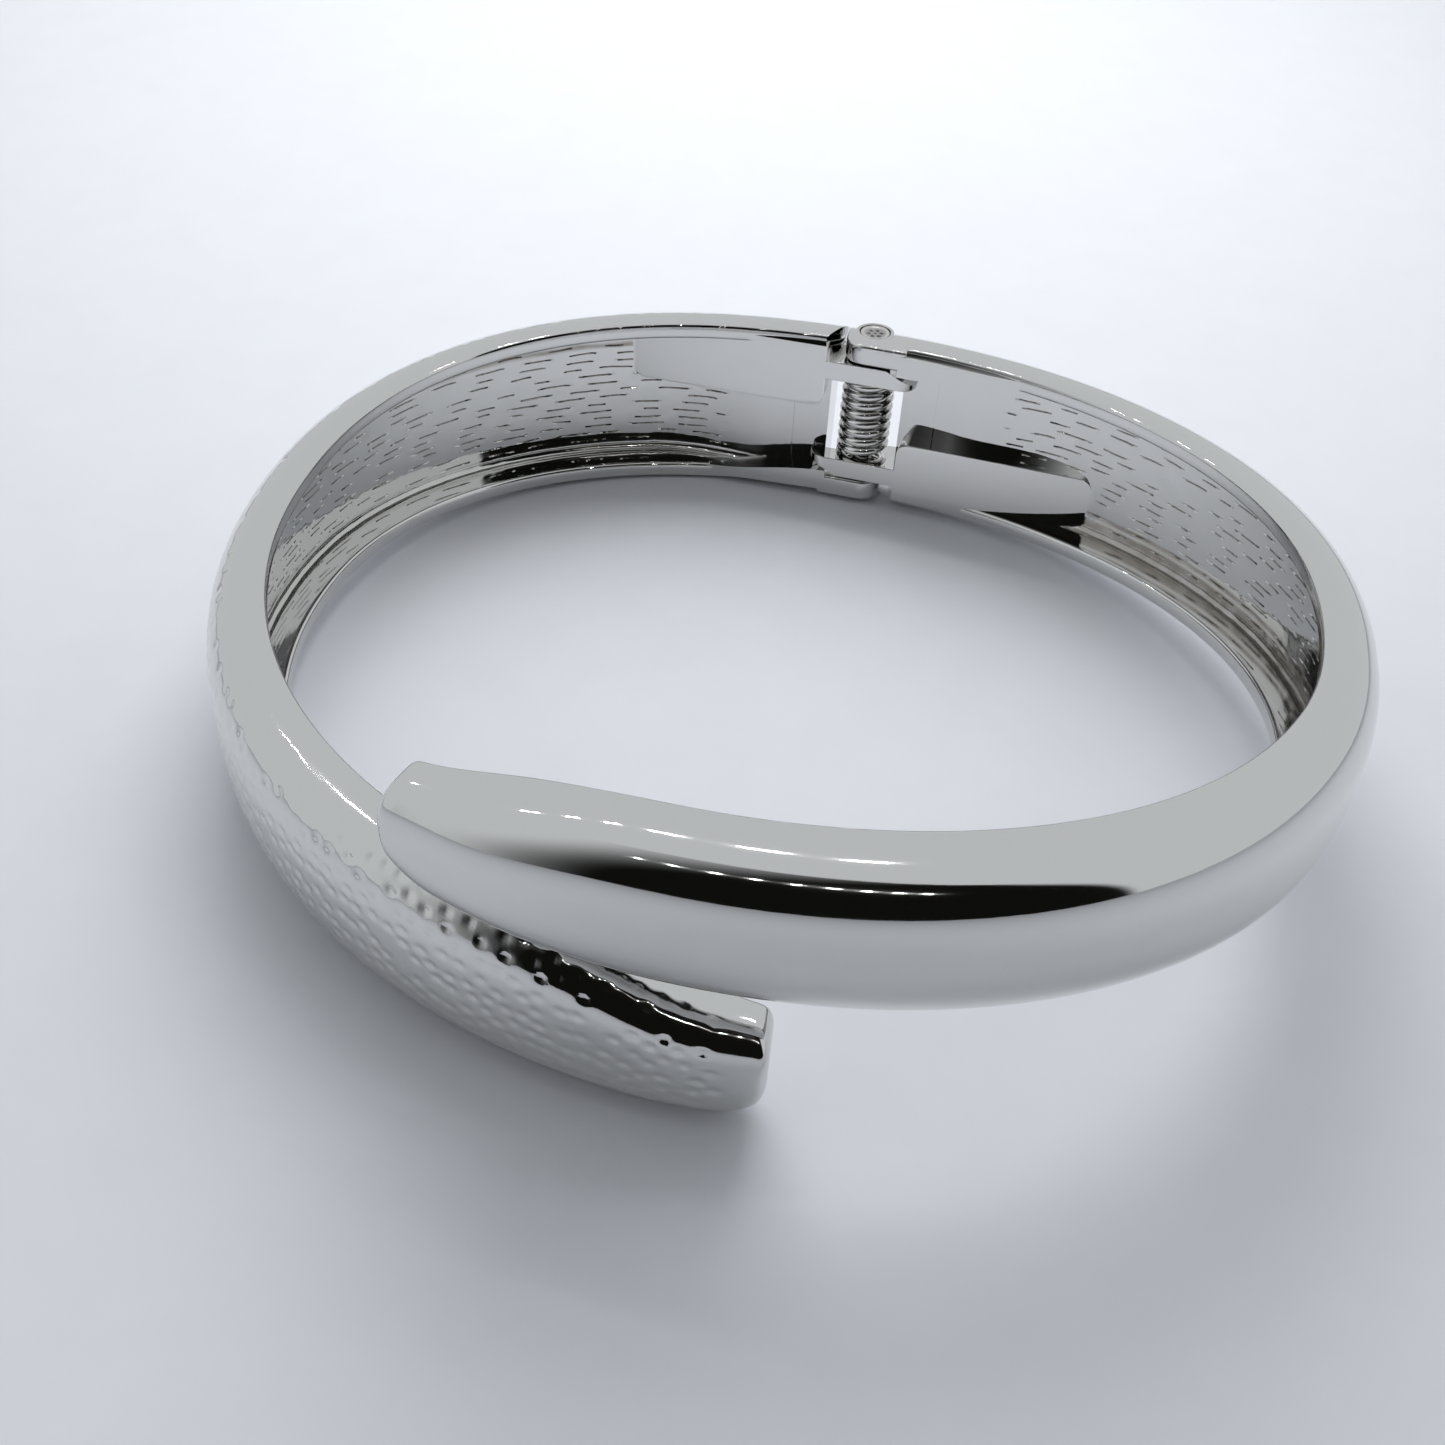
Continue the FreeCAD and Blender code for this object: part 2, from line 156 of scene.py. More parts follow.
# %% Build node trees from short calls
class NodeTree:
    def __init__(self, name, inputs):
        self.tree = bpy.data.node_groups.new(name, "GeometryNodeTree")
        face = self.tree.interface
        face.new_socket("Geometry", in_out="INPUT", socket_type="NodeSocketGeometry")
        for label, kind, value in inputs:
            item = face.new_socket(label, in_out="INPUT", socket_type="NodeSocket" + kind)
            if value is not None:
                item.default_value = value
        face.new_socket("Geometry", in_out="OUTPUT", socket_type="NodeSocketGeometry")
        self.given = self.tree.nodes.new("NodeGroupInput").outputs

    def add(self, kind, *values, out=0, **options):
        node = self.tree.nodes.new(kind)
        named = options.pop("named", {})
        for option, value in options.items():
            setattr(node, option, value)
        visible = [s for s in node.inputs if s.enabled]
        pairs = list(zip(visible, values))
        pairs += [(next(s for s in visible if s.name == k), v) for k, v in named.items()]
        for socket, value in pairs:
            if isinstance(value, bpy.types.NodeSocket):
                self.tree.links.new(value, socket)
            elif value is not None:
                socket.default_value = value
        return [s for s in node.outputs if s.enabled][out]

    def math(self, operation, *values):
        return self.add("ShaderNodeMath", *values, operation=operation)

    def vector(self, operation, *values):
        node = self.tree.nodes.new("ShaderNodeVectorMath")
        node.operation = operation
        for socket, value in zip([s for s in node.inputs if s.enabled], values):
            if isinstance(value, bpy.types.NodeSocket):
                self.tree.links.new(value, socket)
            else:
                socket.default_value = value
        return node.outputs["Vector"]

    def scaled(self, vector, factor):
        node = self.tree.nodes.new("ShaderNodeVectorMath")
        node.operation = "SCALE"
        self.tree.links.new(vector, node.inputs[0])
        if isinstance(factor, bpy.types.NodeSocket):
            self.tree.links.new(factor, node.inputs["Scale"])
        else:
            node.inputs["Scale"].default_value = factor
        return node.outputs["Vector"]

    def attribute(self, name, kind="FLOAT"):
        return self.add("GeometryNodeInputNamedAttribute", name, data_type=kind)

    def store(self, geometry, name, value, kind="FLOAT"):
        return self.add("GeometryNodeStoreNamedAttribute", geometry, True, name, value,
                        data_type=kind, domain="POINT")

    def moved(self, geometry, offset):
        return self.add("GeometryNodeSetPosition", geometry, named={"Offset": offset})

    def finish(self, geometry):
        geometry = self.add("GeometryNodeRealizeInstances", geometry)
        geometry = self.add("GeometryNodeSetMaterial", geometry, True, self.given["Material"])
        end = self.tree.nodes.new("NodeGroupOutput")
        self.tree.links.new(geometry, end.inputs[0])
        return self.tree


def use_tree(obj, tree, **values):
    """Puts a tree on an object and sets its inputs by the sockets' identifiers."""
    modifier = obj.modifiers.new(tree.name, "NODES")
    modifier.node_group = tree
    for item in tree.interface.items_tree:
        if item.in_out == "INPUT" and item.name in values:
            modifier[item.identifier] = values[item.name]


def placed(name, data):
    obj = bpy.data.objects.new(name, data)
    bpy.context.scene.collection.objects.link(obj)
    return obj


def baked(obj, name):
    """The modifiers' result as a plain mesh object at the origin."""
    depsgraph = bpy.context.evaluated_depsgraph_get()
    return placed(name, bpy.data.meshes.new_from_object(obj.evaluated_get(depsgraph)))


def drop(*objects):
    for obj in objects:
        bpy.data.objects.remove(obj, do_unlink=True)


def shade_smooth(obj, crease):
    obj.data.polygons.foreach_set("use_smooth", [True] * len(obj.data.polygons))
    obj.data.set_sharp_from_angle(angle=radians(crease))


print("node tree helper ready")

# %% [markdown]
# ## The plating
# Both arms are zinc castings under a thin bright plating, close to white gold in colour. A
# mirror finish is never one flat value: polishing leaves very fine lines, handling leaves a
# faint haze, and the plating is duller where a tool could not reach. The fine lines and the
# haze are one node group that all the metals share. The same group darkens the colour in the
# dashes, in the channel's lower corner and in the pin's punch marks. It reads an attribute that
# the node trees write while they press the pattern in. This darkening is painted shade, with
# some real dullness of the plating.


# %% A shared group: polished metal wear
def math_node(tree, operation, a, b):
    node = tree.nodes.new("ShaderNodeMath")
    node.operation = operation
    for socket, value in zip(node.inputs, (a, b)):
        if isinstance(value, float):
            socket.default_value = value
        else:
            tree.links.new(value, socket)
    return node.outputs["Value"]


def polish_group():
    group = bpy.data.node_groups.new("PolishedMetal", "ShaderNodeTree")
    face = group.interface
    for label, kind, value in (("Bright", "Color", (0.82, 0.81, 0.79, 1)),
                               ("Dull", "Color", (0.30, 0.27, 0.23, 1)),
                               ("Recess", "Float", 0.0), ("Haze", "Float", 0.03),
                               ("Gloss Roughness", "Float", 0.04), ("Line Scale", "Float", 900.0)):
        item = face.new_socket(label, in_out="INPUT", socket_type="NodeSocket" + kind)
        item.default_value = value
    for label, kind in (("Color", "Color"), ("Roughness", "Float"), ("Height", "Float")):
        face.new_socket(label, in_out="OUTPUT", socket_type="NodeSocket" + kind)
    nodes, links = group.nodes, group.links
    given, result = nodes.new("NodeGroupInput"), nodes.new("NodeGroupOutput")
    place = nodes.new("ShaderNodeTexCoord")

    def noise(scale, detail, stretch=(1, 1, 1)):
        mapping, texture = nodes.new("ShaderNodeMapping"), nodes.new("ShaderNodeTexNoise")
        mapping.inputs["Scale"].default_value = stretch
        texture.inputs["Detail"].default_value = detail
        if isinstance(scale, float):
            texture.inputs["Scale"].default_value = scale
        else:
            links.new(scale, texture.inputs["Scale"])
        links.new(place.outputs["Object"], mapping.inputs["Vector"])
        links.new(mapping.outputs["Vector"], texture.inputs["Vector"])
        return texture.outputs["Fac"]

    def span(value, low, high, to_low, to_high):
        node = nodes.new("ShaderNodeMapRange")
        for socket, number in zip(list(node.inputs)[1:5], (low, high, to_low, to_high)):
            socket.default_value = number
        links.new(value, node.inputs["Value"])
        return node.outputs["Result"]

    smudge = span(noise(95.0, 4.0), 0.42, 0.75, 0.0, 1.0)
    lines = noise(given.outputs["Line Scale"], 2.0, (1, 1, 14))
    haze = math_node(group, "MULTIPLY", smudge, given.outputs["Haze"])
    rough = math_node(group, "ADD", given.outputs["Gloss Roughness"], haze)
    worn = math_node(group, "MULTIPLY", given.outputs["Recess"], 0.22)
    links.new(math_node(group, "ADD", rough, worn), result.inputs["Roughness"])
    # The mask mixes the colour towards a dark brown: painted shade in grooves, corners and dents,
    # with some real dullness of the plating
    tint = nodes.new("ShaderNodeMix")
    tint.data_type = "RGBA"
    patchiness = span(noise(700.0, 3.0), 0.3, 0.7, 0.55, 0.95)
    amount = math_node(group, "MULTIPLY", given.outputs["Recess"], patchiness)
    links.new(amount, tint.inputs["Factor"])
    links.new(given.outputs["Bright"], tint.inputs["A"])
    links.new(given.outputs["Dull"], tint.inputs["B"])
    links.new(tint.outputs["Result"], result.inputs["Color"])
    links.new(lines, result.inputs["Height"])
    return group


def metal(name, bright, shade_and_dull, haze, gloss, line_scale, bump, recess=""):
    """A plated metal that uses the shared group with its own values."""
    material = bpy.data.materials.new(name)
    material.use_nodes = True
    nodes, links = material.node_tree.nodes, material.node_tree.links
    shader = nodes["Principled BSDF"]
    shader.inputs["Metallic"].default_value = 1.0
    group = nodes.new("ShaderNodeGroup")
    group.node_tree = POLISH
    for label, value in (("Bright", bright), ("Dull", shade_and_dull), ("Haze", haze),
                         ("Gloss Roughness", gloss), ("Line Scale", line_scale)):
        group.inputs[label].default_value = value
    # The named attribute darkens the colour towards the second colour: painted shade in hollows,
    # partly real dullness
    if recess:
        mask = nodes.new("ShaderNodeAttribute")
        mask.attribute_name = recess
        links.new(mask.outputs["Fac"], group.inputs["Recess"])
    height = nodes.new("ShaderNodeBump")
    height.inputs["Strength"].default_value = bump
    height.inputs["Distance"].default_value = 0.000004
    links.new(group.outputs["Height"], height.inputs["Height"])
    links.new(group.outputs["Color"], shader.inputs["Base Color"])
    links.new(group.outputs["Roughness"], shader.inputs["Roughness"])
    links.new(height.outputs["Normal"], shader.inputs["Normal"])
    return material


POLISH = polish_group()
# Each metal's second colour is the dark one that the painted shade in hollows mixes towards
PLATED = metal("bright_plating", (0.70, 0.70, 0.685, 1), (0.24, 0.20, 0.16, 1), 0.05, 0.035,
               900.0, 0.10, "recess")
PIN_METAL = metal("punched_pin_steel", (0.74, 0.73, 0.71, 1), (0.10, 0.09, 0.08, 1), 0.08, 0.12,
                  1500.0, 0.3, "recess")
WIRE_METAL = metal("plated_spring_wire", (0.80, 0.79, 0.77, 1), (0.2, 0.18, 0.16, 1), 0.04, 0.07,
                   2500.0, 0.25)
print("metals:", PLATED.name, PIN_METAL.name, WIRE_METAL.name)

# %% [markdown]
# ## Stations along an arm
# The sweep needs a list of places along the oval, each with its own edge heights. They are
# stored as named attributes on a string of points, one point for each station, and the node
# tree looks them up. The stations crowd together at the tip, where the end face rounds over,
# and the last few shrink to a point so that the arm is closed.


# %% A guide: one point per station
def arm_guide(name, arm, spacing):
    stations = []

    def station(turn, to_end, hollow, pull=0.0, shrink=0.0):
        low, high, shift, depth = edges_at(arm, turn, to_end)
        dug = HINGE_CHANNEL + (CHANNEL_DEPTH - HINGE_CHANNEL) * smooth(turn, 12, 28)
        stations.append(dict(turn=turn, low=low, high=high, shift=shift, depth=depth,
                             hollow=hollow * (dug / CHANNEL_DEPTH), pull=pull, shrink=shrink,
                             round=smooth(turn, 20, 120)))

    for shrink in (1.0, 0.6, 0.0):
        station(-9.0, 99, 0.0, shrink=shrink)
    station(-8.6, 99, 0.0)
    turn, closed = -8.5, False
    corner = max(arm["corner_near"], arm["corner_far"])
    last = arm["tip"] - corner / speed(arm["tip"])
    while turn < last:
        if turn >= arm["channel_end"] and not closed:
            station(arm["channel_end"], 99, 1.0)
            station(arm["channel_end"] + 0.3, 99, 0.0)
            turn, closed = arm["channel_end"] + 0.3, True
        else:
            station(turn, 99, 0.0 if closed else 1.0)
        turn += spacing / speed(turn)
    steps = 15
    for i in range(steps + 1):
        to_end = corner * (1 - sin(pi / 2 * i / steps))
        station(arm["tip"] - to_end / speed(arm["tip"]), to_end, 0.0, rounding(0.5, to_end))
    for shrink in (0.35, 0.7, 1.0):
        station(arm["tip"], 0.0, 0.0, 0.5, shrink)

    points, along = [], 0.0
    outs, alongs = [], []
    for item in stations:
        point, out = oval(item["turn"])
        if points:
            along += (point - points[-1]).length
        points.append(point)
        outs.append(out)
        alongs.append(along)
    mesh = bpy.data.meshes.new(name)
    mesh.from_pydata([p * MM for p in points], [(i, i + 1) for i in range(len(points) - 1)], [])
    bare_tip = 2.1 / speed(arm["tip"])
    layers = {label: [s[label] * MM for s in stations]
              for label in ("low", "high", "shift", "depth", "pull")}
    layers.update({label: [s[label] for s in stations] for label in ("hollow", "shrink", "round")})
    layers["along"] = [a * MM for a in alongs]
    layers["dashed"] = [float(s["hollow"] > 0) * smooth(s["turn"], 18, 21) for s in stations]
    layers["dimpled"] = [float(6 < s["turn"] < arm["tip"] - bare_tip) for s in stations]
    for label, values in layers.items():
        mesh.attributes.new(label, "FLOAT", "POINT").data.foreach_set("value", values)
    mesh.attributes.new("outward", "FLOAT_VECTOR", "POINT").data.foreach_set(
        "vector", [c for o in outs for c in o])
    return placed(name, mesh), len(stations)


print("an arm is about %.0f mm long" % sum(speed(t) for t in range(-8, 191)))

# %% [markdown]
# ## The outline of the section
# The section is a closed loop: the polished dome outside, two rims with softened edges, and
# the channel that saves metal on the wrist side. Each point of the loop says how far out and
# how far up it lies, partly as a share of the band's depth and height and partly in
# millimetres, so one outline fits every station. Three lines close together make a row that
# a dash can be engraved along: the two outer lines stay, and the middle one sinks.


# %% An outline: one point per line along the arm
def section_outline(name, dome_count):
    loop = []

    def point(out_share, up_share, out_add, up_add, hollowed=0, row=-1, sunk=0, cast=0, dimple=0,
              front=None):
        front = front or (out_share, up_share)
        loop.append(dict(out_share=out_share, up_share=up_share, out_front=front[0],
                         up_front=front[1], out_add=out_add * MM,
                         up_add=up_add * MM, hollowed=hollowed, row=row, sunk=sunk,
                         cast=cast, dimple=dimple))

    fine = []
    for i in range(4001):
        t = -pi / 2 + pi * i / 4000
        pair = []
        for power in (HINGE_POWER, FRONT_POWER):
            pair += [max(cos(t), 0.0) ** (2 / power),
                     abs(sin(t)) ** (2 / power) * (1 if t > 0 else -1)]
        if pair[2] * BAND_DEPTH > EDGE_ROUND * 1.3:
            fine.append(pair)
    lengths = [0.0]
    for (_, _, o0, u0), (_, _, o1, u1) in zip(fine, fine[1:]):
        lengths.append(lengths[-1] + sqrt((BAND_DEPTH * (o1 - o0)) ** 2 + (4.6 * (u1 - u0)) ** 2))
    wanted, k = [lengths[-1] * i / (dome_count - 1) for i in range(dome_count)], 0

    def soft_edge(side, inner):
        """Rounded arris of a rim, from the dome to the lip or from the lip to the channel."""
        for i in range(4):
            a = pi / 2 * i / 3
            if inner:
                point(0, side, EDGE_ROUND * (1 - cos(a)), -side * (LIP - EDGE_ROUND * (1 - sin(a))))
            else:
                point(0, side, EDGE_ROUND * (1 - sin(a)), -side * EDGE_ROUND * (1 - cos(a)))

    for length in wanted:
        while k < len(lengths) - 2 and lengths[k + 1] < length:
            k += 1
        out, up, front_out, front_up = fine[k]
        point(out, up, 0, 0, dimple=float(front_out > DIMPLED_FROM), front=(front_out, front_up))
    soft_edge(1, False)
    soft_edge(1, True)
    # The number given for the casting skin says how rough the skin is at each point and how much
    # painted shade darkens the colour there; both are strongest in the channel's lower corner
    for i in range(3):
        point(0, 1, 0.4 + 0.9 * i, -LIP, hollowed=1, cast=0.2 * i)
    for i in range(5):
        a = pi / 2 * i / 4
        point(0, 1, CHANNEL_DEPTH - FILLET * (1 - sin(a)), -(LIP + FILLET * (1 - cos(a))),
              hollowed=1, cast=0.5)
    for r in range(DASH_ROWS):
        middle = 1 - 2 * (r + 0.5) / DASH_ROWS
        for step, sunk in ((-1, 0), (0, 1), (1, 0)):
            share = middle - step * ROW_HALF
            point(0, share, CHANNEL_DEPTH, -share * (LIP + FILLET), hollowed=1, row=r, sunk=sunk,
                  cast=0.22 + (0.78 if r >= DASH_ROWS - 2 else 0.0))
        if r < DASH_ROWS - 1:
            share = 1 - 2 * (r + 1) / DASH_ROWS
            point(0, share, CHANNEL_DEPTH, -share * (LIP + FILLET), hollowed=1, cast=0.1)
    for i in range(5):
        a = pi / 2 * (1 - i / 4)
        point(0, -1, CHANNEL_DEPTH - FILLET * (1 - sin(a)), LIP + FILLET * (1 - cos(a)),
              hollowed=1, cast=1.0)
    for i in range(3):
        point(0, -1, 2.2 - 0.9 * i, LIP, hollowed=1, cast=0.9 - 0.35 * i)
    inner = [dict(p) for p in loop[dome_count + 4:dome_count + 8]][::-1]
    outer = [dict(p) for p in loop[dome_count:dome_count + 4]][::-1]
    for p in inner + outer:
        p["up_share"], p["up_front"], p["up_add"] = -p["up_share"], -p["up_front"], -p["up_add"]
        loop.append(p)
    loop.append(dict(loop[0]))
    mesh = bpy.data.meshes.new(name)
    mesh.from_pydata([(0, 0, i * MM) for i in range(len(loop))], [], [])
    for label in loop[0]:
        layer = mesh.attributes.new(label, "FLOAT", "POINT")
        layer.data.foreach_set("value", [float(p[label]) for p in loop])
    return placed(name, mesh), len(loop)


print("outline rule ready")

# %% [markdown]
# ## Sweeping the band
# The tree makes a flat grid, one row of points for each station and one column for each
# point of the outline. The index of a grid point tells which station and which outline point
# it belongs to, so it can look both up and move to its place. Merging the doubles closes the
# loop and the two ends. A curve sweep could not do this, because it scales its profile the
# same way in both directions.


# %% Tree: sweep the band
def sweep_tree():
    t = NodeTree("SweepBand", [("Guide", "Object", None), ("Outline", "Object", None),
                               ("Stations", "Int", 10), ("Outline Points", "Int", 10),
                               ("Material", "Material", None)])
    guide = t.add("GeometryNodeObjectInfo", t.given["Guide"], out=-1)
    outline = t.add("GeometryNodeObjectInfo", t.given["Outline"], out=-1)
    grid = t.add("GeometryNodeMeshGrid", 1.0, 1.0, t.given["Stations"], t.given["Outline Points"])
    index = t.add("GeometryNodeInputIndex")
    row = t.math("FLOOR", t.math("DIVIDE", t.math("ADD", index, 0.5), t.given["Outline Points"]))
    column = t.math("SUBTRACT", index, t.math("MULTIPLY", row, t.given["Outline Points"]))

    def look(source, name, where, kind="FLOAT"):
        at_point = name == "position"
        value = t.add("GeometryNodeInputPosition") if at_point else t.attribute(name, kind)
        return t.add("GeometryNodeSampleIndex", source, value, where, data_type=kind,
                     domain="POINT")

    low, high, shift, depth, hollow, pull, shrink, front = (
        look(guide, n, row) for n in ("low", "high", "shift", "depth", "hollow", "pull", "shrink",
                                      "round"))
    base = look(guide, "position", row, "FLOAT_VECTOR")
    outward = look(guide, "outward", row, "FLOAT_VECTOR")
    out_add, up_add, hollowed = (
        look(outline, n, column) for n in ("out_add", "up_add", "hollowed"))
    out_share, up_share = (
        t.add("ShaderNodeMapRange", front, 0.0, 1.0, look(outline, name + "_share", column),
              look(outline, name + "_front", column)) for name in ("out", "up"))
    middle = t.math("MULTIPLY", t.math("ADD", low, high), 0.5)
    half = t.math("MULTIPLY", t.math("SUBTRACT", high, low), 0.5)
    filled = t.math("MULTIPLY", hollowed, t.math("SUBTRACT", 1.0, hollow))
    out = t.math("MULTIPLY_ADD", out_share, depth, shift)
    out = t.math("MULTIPLY_ADD", out_add, t.math("SUBTRACT", 1.0, filled), out)
    up = t.math("ADD", t.math("MULTIPLY_ADD", up_share, half, middle), up_add)
    core = t.math("MULTIPLY_ADD", depth, 0.45, shift)
    to_core = t.add("ShaderNodeCombineXYZ", t.math("SUBTRACT", core, out),
                    t.math("SUBTRACT", middle, up), 0.0)
    pulled = t.scaled(t.vector("NORMALIZE", to_core), pull)
    here = t.vector("ADD", t.add("ShaderNodeCombineXYZ", out, up, 0.0), pulled)
    centre = t.add("ShaderNodeCombineXYZ", core, middle, 0.0)
    here = t.vector("ADD", here, t.scaled(t.vector("SUBTRACT", centre, here), shrink))
    split = t.tree.nodes.new("ShaderNodeSeparateXYZ")
    t.tree.links.new(here, split.inputs[0])
    place = t.vector("ADD", base, t.scaled(outward, split.outputs["X"]))
    place = t.vector("ADD", place, t.add("ShaderNodeCombineXYZ", 0.0, 0.0, split.outputs["Y"]))
    band = t.add("GeometryNodeSetPosition", grid, named={"Position": place})
    for name in ("row", "sunk", "cast", "dimple"):
        band = t.store(band, name, look(outline, name, column))
    for name in ("along", "dashed", "dimpled", "hollow"):
        band = t.store(band, name, look(guide, name, row))
    band = t.store(band, "outward", outward, "FLOAT_VECTOR")
    band = t.add("GeometryNodeMergeByDistance", band, True, 0.000002)
    return t.finish(band)


SWEEP = sweep_tree()
print("tree:", SWEEP.name, len(SWEEP.nodes), "nodes")

# %% [markdown]
# ## Engraved dashes and a cast floor
# The channel of the real bangle is covered in short strokes that run round the wrist, and its
# lower corner shows the rough skin of the casting. Each row is cut into cells of equal
# length, and a random number for the cell says how long its stroke is, where it starts and
# whether it is there at all. Noise on the rows keeps them from looking ruled. The strokes and
# the lower corner are also darkened in colour. This is painted shade, with some real dullness
# of the plating there.


# %% Tree: engrave the dashes
def dash_tree():
    t = NodeTree("EngraveDashes", [("Cell Length", "Float", 0.0030), ("Depth", "Float", 0.00013),
                                   ("Coverage", "Float", 0.9), ("Waver", "Float", 0.00014),
                                   ("Cast Skin", "Float", 0.00016), ("Seed", "Int", 7),
                                   ("Material", "Material", None)])
    row, along = t.attribute("row"), t.attribute("along")
    outward = t.attribute("outward", "FLOAT_VECTOR")
    in_row = t.math("GREATER_THAN", row, -0.5)
    shift = t.add("FunctionNodeRandomValue", 0.0, 1.0, t.math("ROUND", row), t.given["Seed"],
                  data_type="FLOAT")
    cells = t.math("ADD", t.math("DIVIDE", along, t.given["Cell Length"]), shift)
    cell, inside = t.math("FLOOR", cells), t.math("FRACT", cells)
    name = t.math("ROUND", t.math("MULTIPLY_ADD", cell, 101.0, row))

    def chance(low, high, offset):
        seed = t.math("ADD", t.given["Seed"], float(offset))
        return t.add("FunctionNodeRandomValue", low, high, name, seed, data_type="FLOAT")

    length = chance(0.28, 0.74, 1)
    start = t.math("MULTIPLY", chance(0.0, 1.0, 2), t.math("SUBTRACT", 0.76, length))
    start = t.math("ADD", start, 0.12)
    there = t.math("LESS_THAN", chance(0.0, 1.0, 3), t.given["Coverage"])
    place = t.math("DIVIDE", t.math("SUBTRACT", inside, start), length)
    body = t.math("SUBTRACT", 1.0, t.math("POWER", t.math("ABSOLUTE",
                  t.math("MULTIPLY_ADD", place, 2.0, -1.0)), 2.0))
    stroke = t.math("MAXIMUM", body, 0.0)
    stroke = t.math("MULTIPLY", t.math("MULTIPLY", stroke, there), t.attribute("dashed"))
    stroke = t.math("MULTIPLY", t.math("MULTIPLY", stroke, in_row), t.attribute("sunk"))
    noise_at = t.add("GeometryNodeInputPosition")
    waver = t.add("ShaderNodeTexNoise", named={"Vector": noise_at, "Scale": 330.0, "Detail": 2.0})
    lift = t.math("MULTIPLY", t.math("SUBTRACT", waver, 0.5), t.given["Waver"])
    lift = t.math("MULTIPLY", t.math("MULTIPLY", lift, 2.0), t.math("MULTIPLY", in_row,
                                                                   t.attribute("hollow")))
    skin = t.add("ShaderNodeTexNoise", named={"Vector": noise_at, "Scale": 900.0, "Detail": 3.0,
                                              "Roughness": 0.6})
    skin = t.math("MULTIPLY", t.math("SUBTRACT", skin, 0.5), t.given["Cast Skin"])
    skin = t.math("MULTIPLY", skin, t.math("MULTIPLY", t.attribute("cast"), t.attribute("hollow")))
    sink = t.math("MULTIPLY", stroke, t.given["Depth"])
    middle = t.math("MULTIPLY", t.math("MULTIPLY", inside, t.math("SUBTRACT", 1.0, inside)), 4.0)
    aside = t.math("MULTIPLY", t.math("MULTIPLY", chance(-0.00006, 0.00006, 4), in_row),
                   t.math("MULTIPLY", middle, t.attribute("dashed")))
    lift = t.math("ADD", lift, aside)
    band = t.moved(t.given["Geometry"], t.add("ShaderNodeCombineXYZ", 0.0, 0.0, lift))
    band = t.moved(band, t.scaled(outward, t.math("ADD", sink, skin)))
    # The colour darkens in the strokes and towards the channel's lower corner: painted shade,
    # partly the real dullness of the rough casting skin
    rough = t.math("MULTIPLY", t.math("SUBTRACT", t.attribute("cast"), 0.25),
                   t.attribute("hollow"))
    recess = t.math("MAXIMUM", t.math("POWER", stroke, 0.5), t.math("MAXIMUM", rough, 0.0))
    band = t.store(t.store(band, "recess", recess), "stroke", stroke)
    return t.finish(band)


DASHES = dash_tree()
print("tree:", DASHES.name, len(DASHES.nodes), "nodes")

# %% [markdown]
# ## Hammered dimples
# The outside of one arm is covered in small round dents, 0.8 mm or more apart, that stop
# short of its rims and its tip. Points scattered with a smallest distance between them give
# the even but unplanned spacing of a hand-held punch. Every point of the band then sinks
# according to how near it is to one of them.


# %% Tree: press the dimples
def dimple_tree():
    t = NodeTree("PressDimples", [("Spacing", "Float", 0.00080),
                                  ("Dimple Radius", "Float", 0.00033),
                                  ("Depth", "Float", 0.00008), ("Seed", "Int", 3),
                                  ("Material", "Material", None)])
    wanted = t.math("MULTIPLY", t.attribute("dimple"), t.attribute("dimpled"))
    seeds = t.add("GeometryNodeDistributePointsOnFaces", t.given["Geometry"],
                  t.math("GREATER_THAN", wanted, 0.5), distribute_method="POISSON",
                  named={"Distance Min": t.given["Spacing"], "Density Max": 4.0e6,
                         "Seed": t.given["Seed"]})
    near = t.add("GeometryNodeProximity", seeds, out=1, target_element="POINTS")
    ratio = t.math("DIVIDE", near, t.given["Dimple Radius"])
    bowl = t.math("MAXIMUM", t.math("SUBTRACT", 1.0, t.math("MULTIPLY", ratio, ratio)), 0.0)
    outward = t.attribute("outward", "FLOAT_VECTOR")
    sink = t.math("MULTIPLY", t.math("MULTIPLY", bowl, t.given["Depth"]), -1.0)
    sink = t.math("MULTIPLY", sink, t.math("GREATER_THAN", t.attribute("dimpled"), 0.1))
    sink = t.math("MULTIPLY", sink, t.math("LESS_THAN", t.attribute("row"), -0.5))
    band = t.moved(t.given["Geometry"], t.scaled(outward, sink))
    return t.finish(band)


DIMPLES = dimple_tree()
print("tree:", DIMPLES.name, len(DIMPLES.nodes), "nodes")

# %% [markdown]
# ## Parts of the hinge
# Everything at the hinge is a flat shape with some height: the ear, the rib beside it, the
# knuckle and its boss. They are drawn as outlines in plan, pulled up, and their edges are
# softened a little, because a polished casting has no sharp edge. One set serves both arms:
# the second arm is the same casting turned over.


# %% Prisms with soft edges
def to_object(name, bm):
    mesh = bpy.data.meshes.new(name)
    bmesh.ops.recalc_face_normals(bm, faces=bm.faces[:])
    bm.to_mesh(mesh)
    bm.free()
    return placed(name, mesh)


def rounded_plan(corners, radii):
    """Plan outline with some of its corners rounded. Corners are (x, y from the pin)."""
    points = []
    for i, (x, y) in enumerate(corners):
        corner = Vector((x, y))
        if i not in radii:
            points.append(corner)
            continue
        before = (Vector(corners[i - 1]) - corner).normalized()
        after = (Vector(corners[(i + 1) % len(corners)]) - corner).normalized()
        half = before.angle(after) / 2
        centre = corner + (before + after).normalized() * radii[i] / sin(half)
        first = corner + before * radii[i] * cos(half) / sin(half) - centre
        last = corner + after * radii[i] * cos(half) / sin(half) - centre
        sweep = first.angle_signed(last)
        for k in range(9):
            points.append(centre + Matrix.Rotation(-sweep * k / 8, 2) @ first)
    return points


